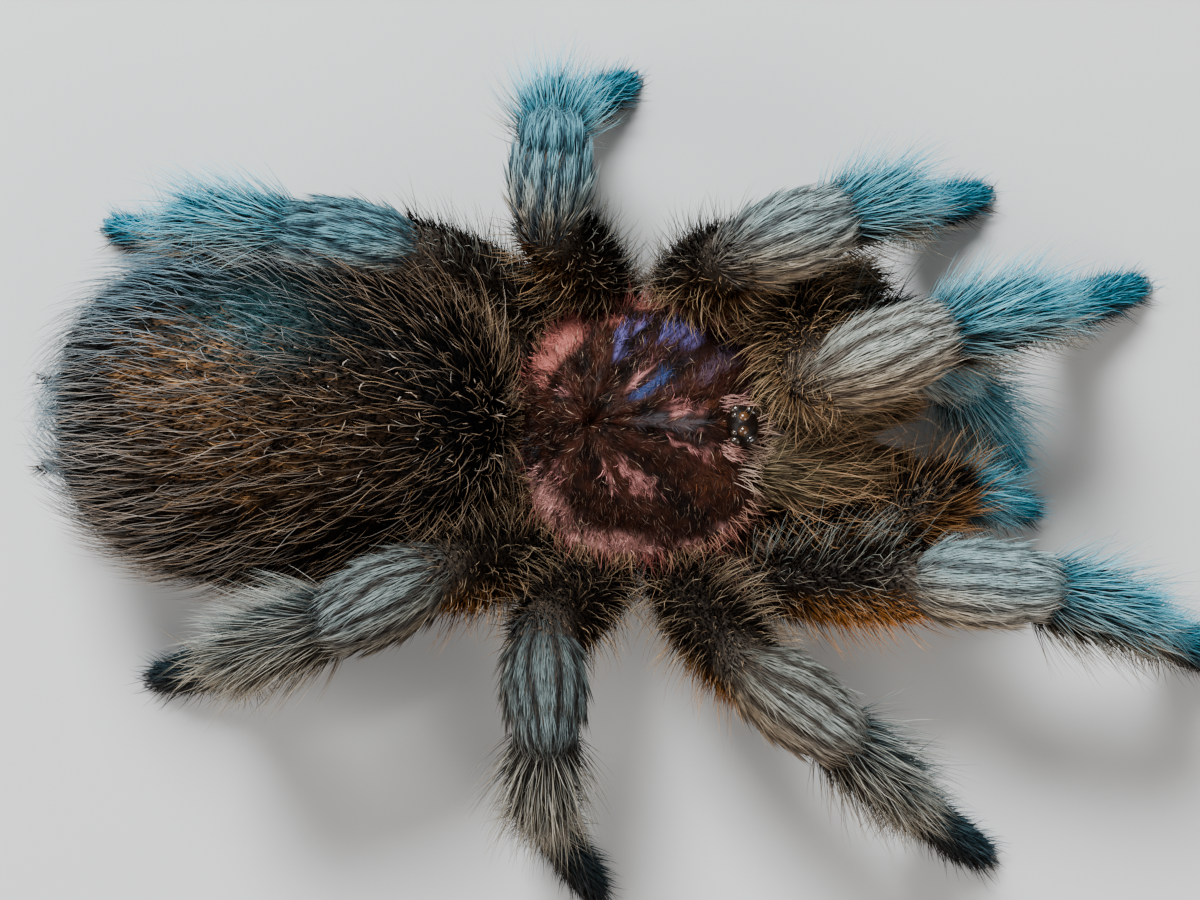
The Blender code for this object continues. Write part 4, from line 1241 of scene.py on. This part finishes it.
def fringeColours(at):
    # Tan and salmon in turn, blush over the jaws.
    front = bellCurve((at.v + 0.46) % 1 - 0.5, 0.06)
    rose = limited(0.5 + 0.8 * sway(at.points, 3.0, 15))
    tip = mixed(mixed(shellCoat["tan"], shell["salmon"], rose), shellCoat["blush"], front)
    return tip * 0.4, tip * at.shade(0.3, 0.95)


def browColours(at):
    tip = np.array(shellCoat["blush"]) * at.shade(0.5, 1.0)
    return tip * 0.4, tip


def clearOfEyes(at):
    gap = (at.points - eyes["mound"]) / (np.array(eyes["moundHalf"]) * 1.05)
    return np.linalg.norm(gap[:, :2], axis=1) > 1


def besideEyes(at):
    # Two small patches just behind the eyes, left and right of the middle line.
    x, y = at.points[:, 0] - (eyes["mound"][0] - 1.0), np.abs(at.points[:, 1]) - 1.9
    return clearOfEyes(at) & (np.hypot(x / 1.5, y) < 0.8)


def onlyFront(at):
    return np.abs((at.v + 0.455) % 1 - 0.5) < at.random.uniform(0.02, 0.06, len(at.v))


coat = Coat("coat_shell", "carapace", random)
coat.grow(shellTop, shellCoat["down"], downColours, 70, (0.0, 0.86), high=0.96,
          comb=combOutward, keep=clearOfEyes)
coat.grow(shellTop, shellCoat["tuft"], between(shell["rose"], shellCoat["blush"], 0.5, 0.5), 12,
          (0.0, 0.86), low=0.6, high=0.9, keep=besideEyes)
coat.grow(shellTop, shellCoat["fringe"], fringeColours, 8, (0.87, 0.93), low=0.93, high=0.995)
coat.grow(shellTop, shellCoat["brow"], browColours, 6, (0.94, 1.0), low=0.83, high=0.91, keep=onlyFront)
coat.finish()

# Jaws: sleek short hair running forward, and longer hairs that cross over the gap between them.
jawCoat = {
    "sleek": hairs(13, (1.8, 3.4), (15, 3), 0.050, spread=5, lock=5, curl=7),
    "long": hairs(2.0, (3.6, 7.4), (40, 8), 0.036, spread=20, lock=14, curl=24, steps=3),
    "olive": (0.17, 0.12, 0.065), "root": (0.014, 0.009, 0.005), "gold": (0.62, 0.44, 0.24),
    "rust": (0.36, 0.14, 0.06), "orange": (0.72, 0.38, 0.20),
}


def sleekColours(at):
    # Olive with some golden tips, rusty over the fangs.
    tip = mixed(jawCoat["olive"], jawCoat["gold"], at.draw() ** 2.5)
    tip = mixed(tip, jawCoat["rust"], limited((at.u - 0.8) * 4) * 0.7)
    return np.tile(jawCoat["root"], (len(tip), 1)), tip


coat = Coat("coat_jaws", "jaw_coat", random)
for index, shape in enumerate(jaws.values()):
    strip = (index * 0.5, index * 0.5 + 0.34)
    coat.grow(shape["surface"], jawCoat["sleek"], sleekColours, 50, strip)
    coat.grow(shape["surface"], jawCoat["long"], between(jawCoat["gold"], jawCoat["orange"], 0.3), 22,
              (strip[0] + 0.35, strip[0] + 0.49), low=0.1, high=0.9, keep=lambda at: at.normals[:, 2] > 0.2)
coat.finish()

# Underside and spinnerets: short dark hair.
undersideCoat = {
    "short": hairs(12, (0.8, 1.8), (38, 18), 0.065, spread=16, steps=1), "rowGap": 0.45,
    "dark": (0.020, 0.013, 0.010), "brown": (0.16, 0.085, 0.05),
}


def undersideColours(at):
    tip = mixed(undersideCoat["dark"], undersideCoat["brown"], at.draw())
    return np.tile(undersideCoat["dark"], (len(tip), 1)), tip


coat = Coat("coat_underside", "skin", random)
undersides = [chest, breast, waist, *spinners["left"], *spinners["right"]]
for index, shape in enumerate(undersides):
    coat.grow(shape["surface"], undersideCoat["short"], undersideColours,
              max(8, round(shape["length"] / undersideCoat["rowGap"])),
              (index / len(undersides), (index + 0.96) / len(undersides)),
              keep=lambda at: at.points[:, 2] < shell["under"] + 0.4)
coat.finish()

# Floor, light and camera.

floorLooks = {"reach": 3, "cloud": 12, "dark": (0.57, 0.565, 0.555), "light": (0.60, 0.595, 0.585)}
floorPaint = Paint("floor", Roughness=0.85, Specular_IOR_Level=0.1)
floorCloud = floorPaint.noise(floorLooks["cloud"], 2.0)
floorPaint.feed(Base_Color=floorPaint.blend(floorCloud, floorLooks["dark"], floorLooks["light"]))
floorMesh = bpy.data.meshes.new("floor")
reach = floorLooks["reach"]
floorMesh.from_pydata([(-reach, -reach, 0), (reach, -reach, 0), (reach, reach, 0), (-reach, reach, 0)], [],
                      [(0, 1, 2, 3)])
floorMesh.materials.append(floorPaint.material)
floor = placed("floor", floorMesh)

lights = {  # place in metres, size, power in watts, colour
    "key": ((-0.16, 0.34, 0.44), 0.20, 8.0, (0.92, 0.97, 1.0)),
    "fill": ((0.30, -0.36, 0.34), 0.40, 1.9, (1.0, 0.95, 0.90)),
    "back": ((-0.42, -0.10, 0.30), 0.30, 1.2, (1.0, 1.0, 1.0)),
}
sky = {"Color": (0.95, 0.97, 1.0, 1), "Strength": 0.24}
for name, (place, size, power, colour) in lights.items():
    data = bpy.data.lights.new(name, "AREA")
    data.size, data.energy, data.color = size, power, colour
    aim = unit(np.array(place) - (0, 0, 0.012))
    level = unit(np.cross(up, aim))
    placed(name, data, standing(place, level, np.cross(aim, level), aim))
world = bpy.data.worlds.new("studio")
world.use_nodes = True
for socket, value in sky.items():
    world.node_tree.nodes["Background"].inputs[socket].default_value = value
bpy.context.scene.world = world

view = {"lens": 100.0, "sensor": 36.0, "tilt": 7.0, "yaw": 1.0, "aim": 14.0, "right": -3.99, "up": -2.12,
        "distance": 283.0}  # looks almost straight down, head to the right; lengths in millimetres
yaw, tilt = math.radians(view["yaw"]), math.radians(view["tilt"])
rightward = np.array((math.cos(yaw), math.sin(yaw), 0))
flatUp = np.array((-math.sin(yaw), math.cos(yaw), 0))
backward = math.cos(tilt) * up - math.sin(tilt) * flatUp
upward = math.cos(tilt) * flatUp + math.sin(tilt) * up
eyePoint = up * view["aim"] + rightward * view["right"] + upward * view["up"] + backward * view["distance"]
cameraData = bpy.data.cameras.new("camera")
cameraData.lens, cameraData.sensor_width = view["lens"], view["sensor"]
cameraData.clip_start, cameraData.clip_end = 0.01, 10
camera = placed("camera", cameraData, standing(eyePoint * mm + middle, rightward, upward, backward))
bpy.context.scene.camera = camera

print("scene done")
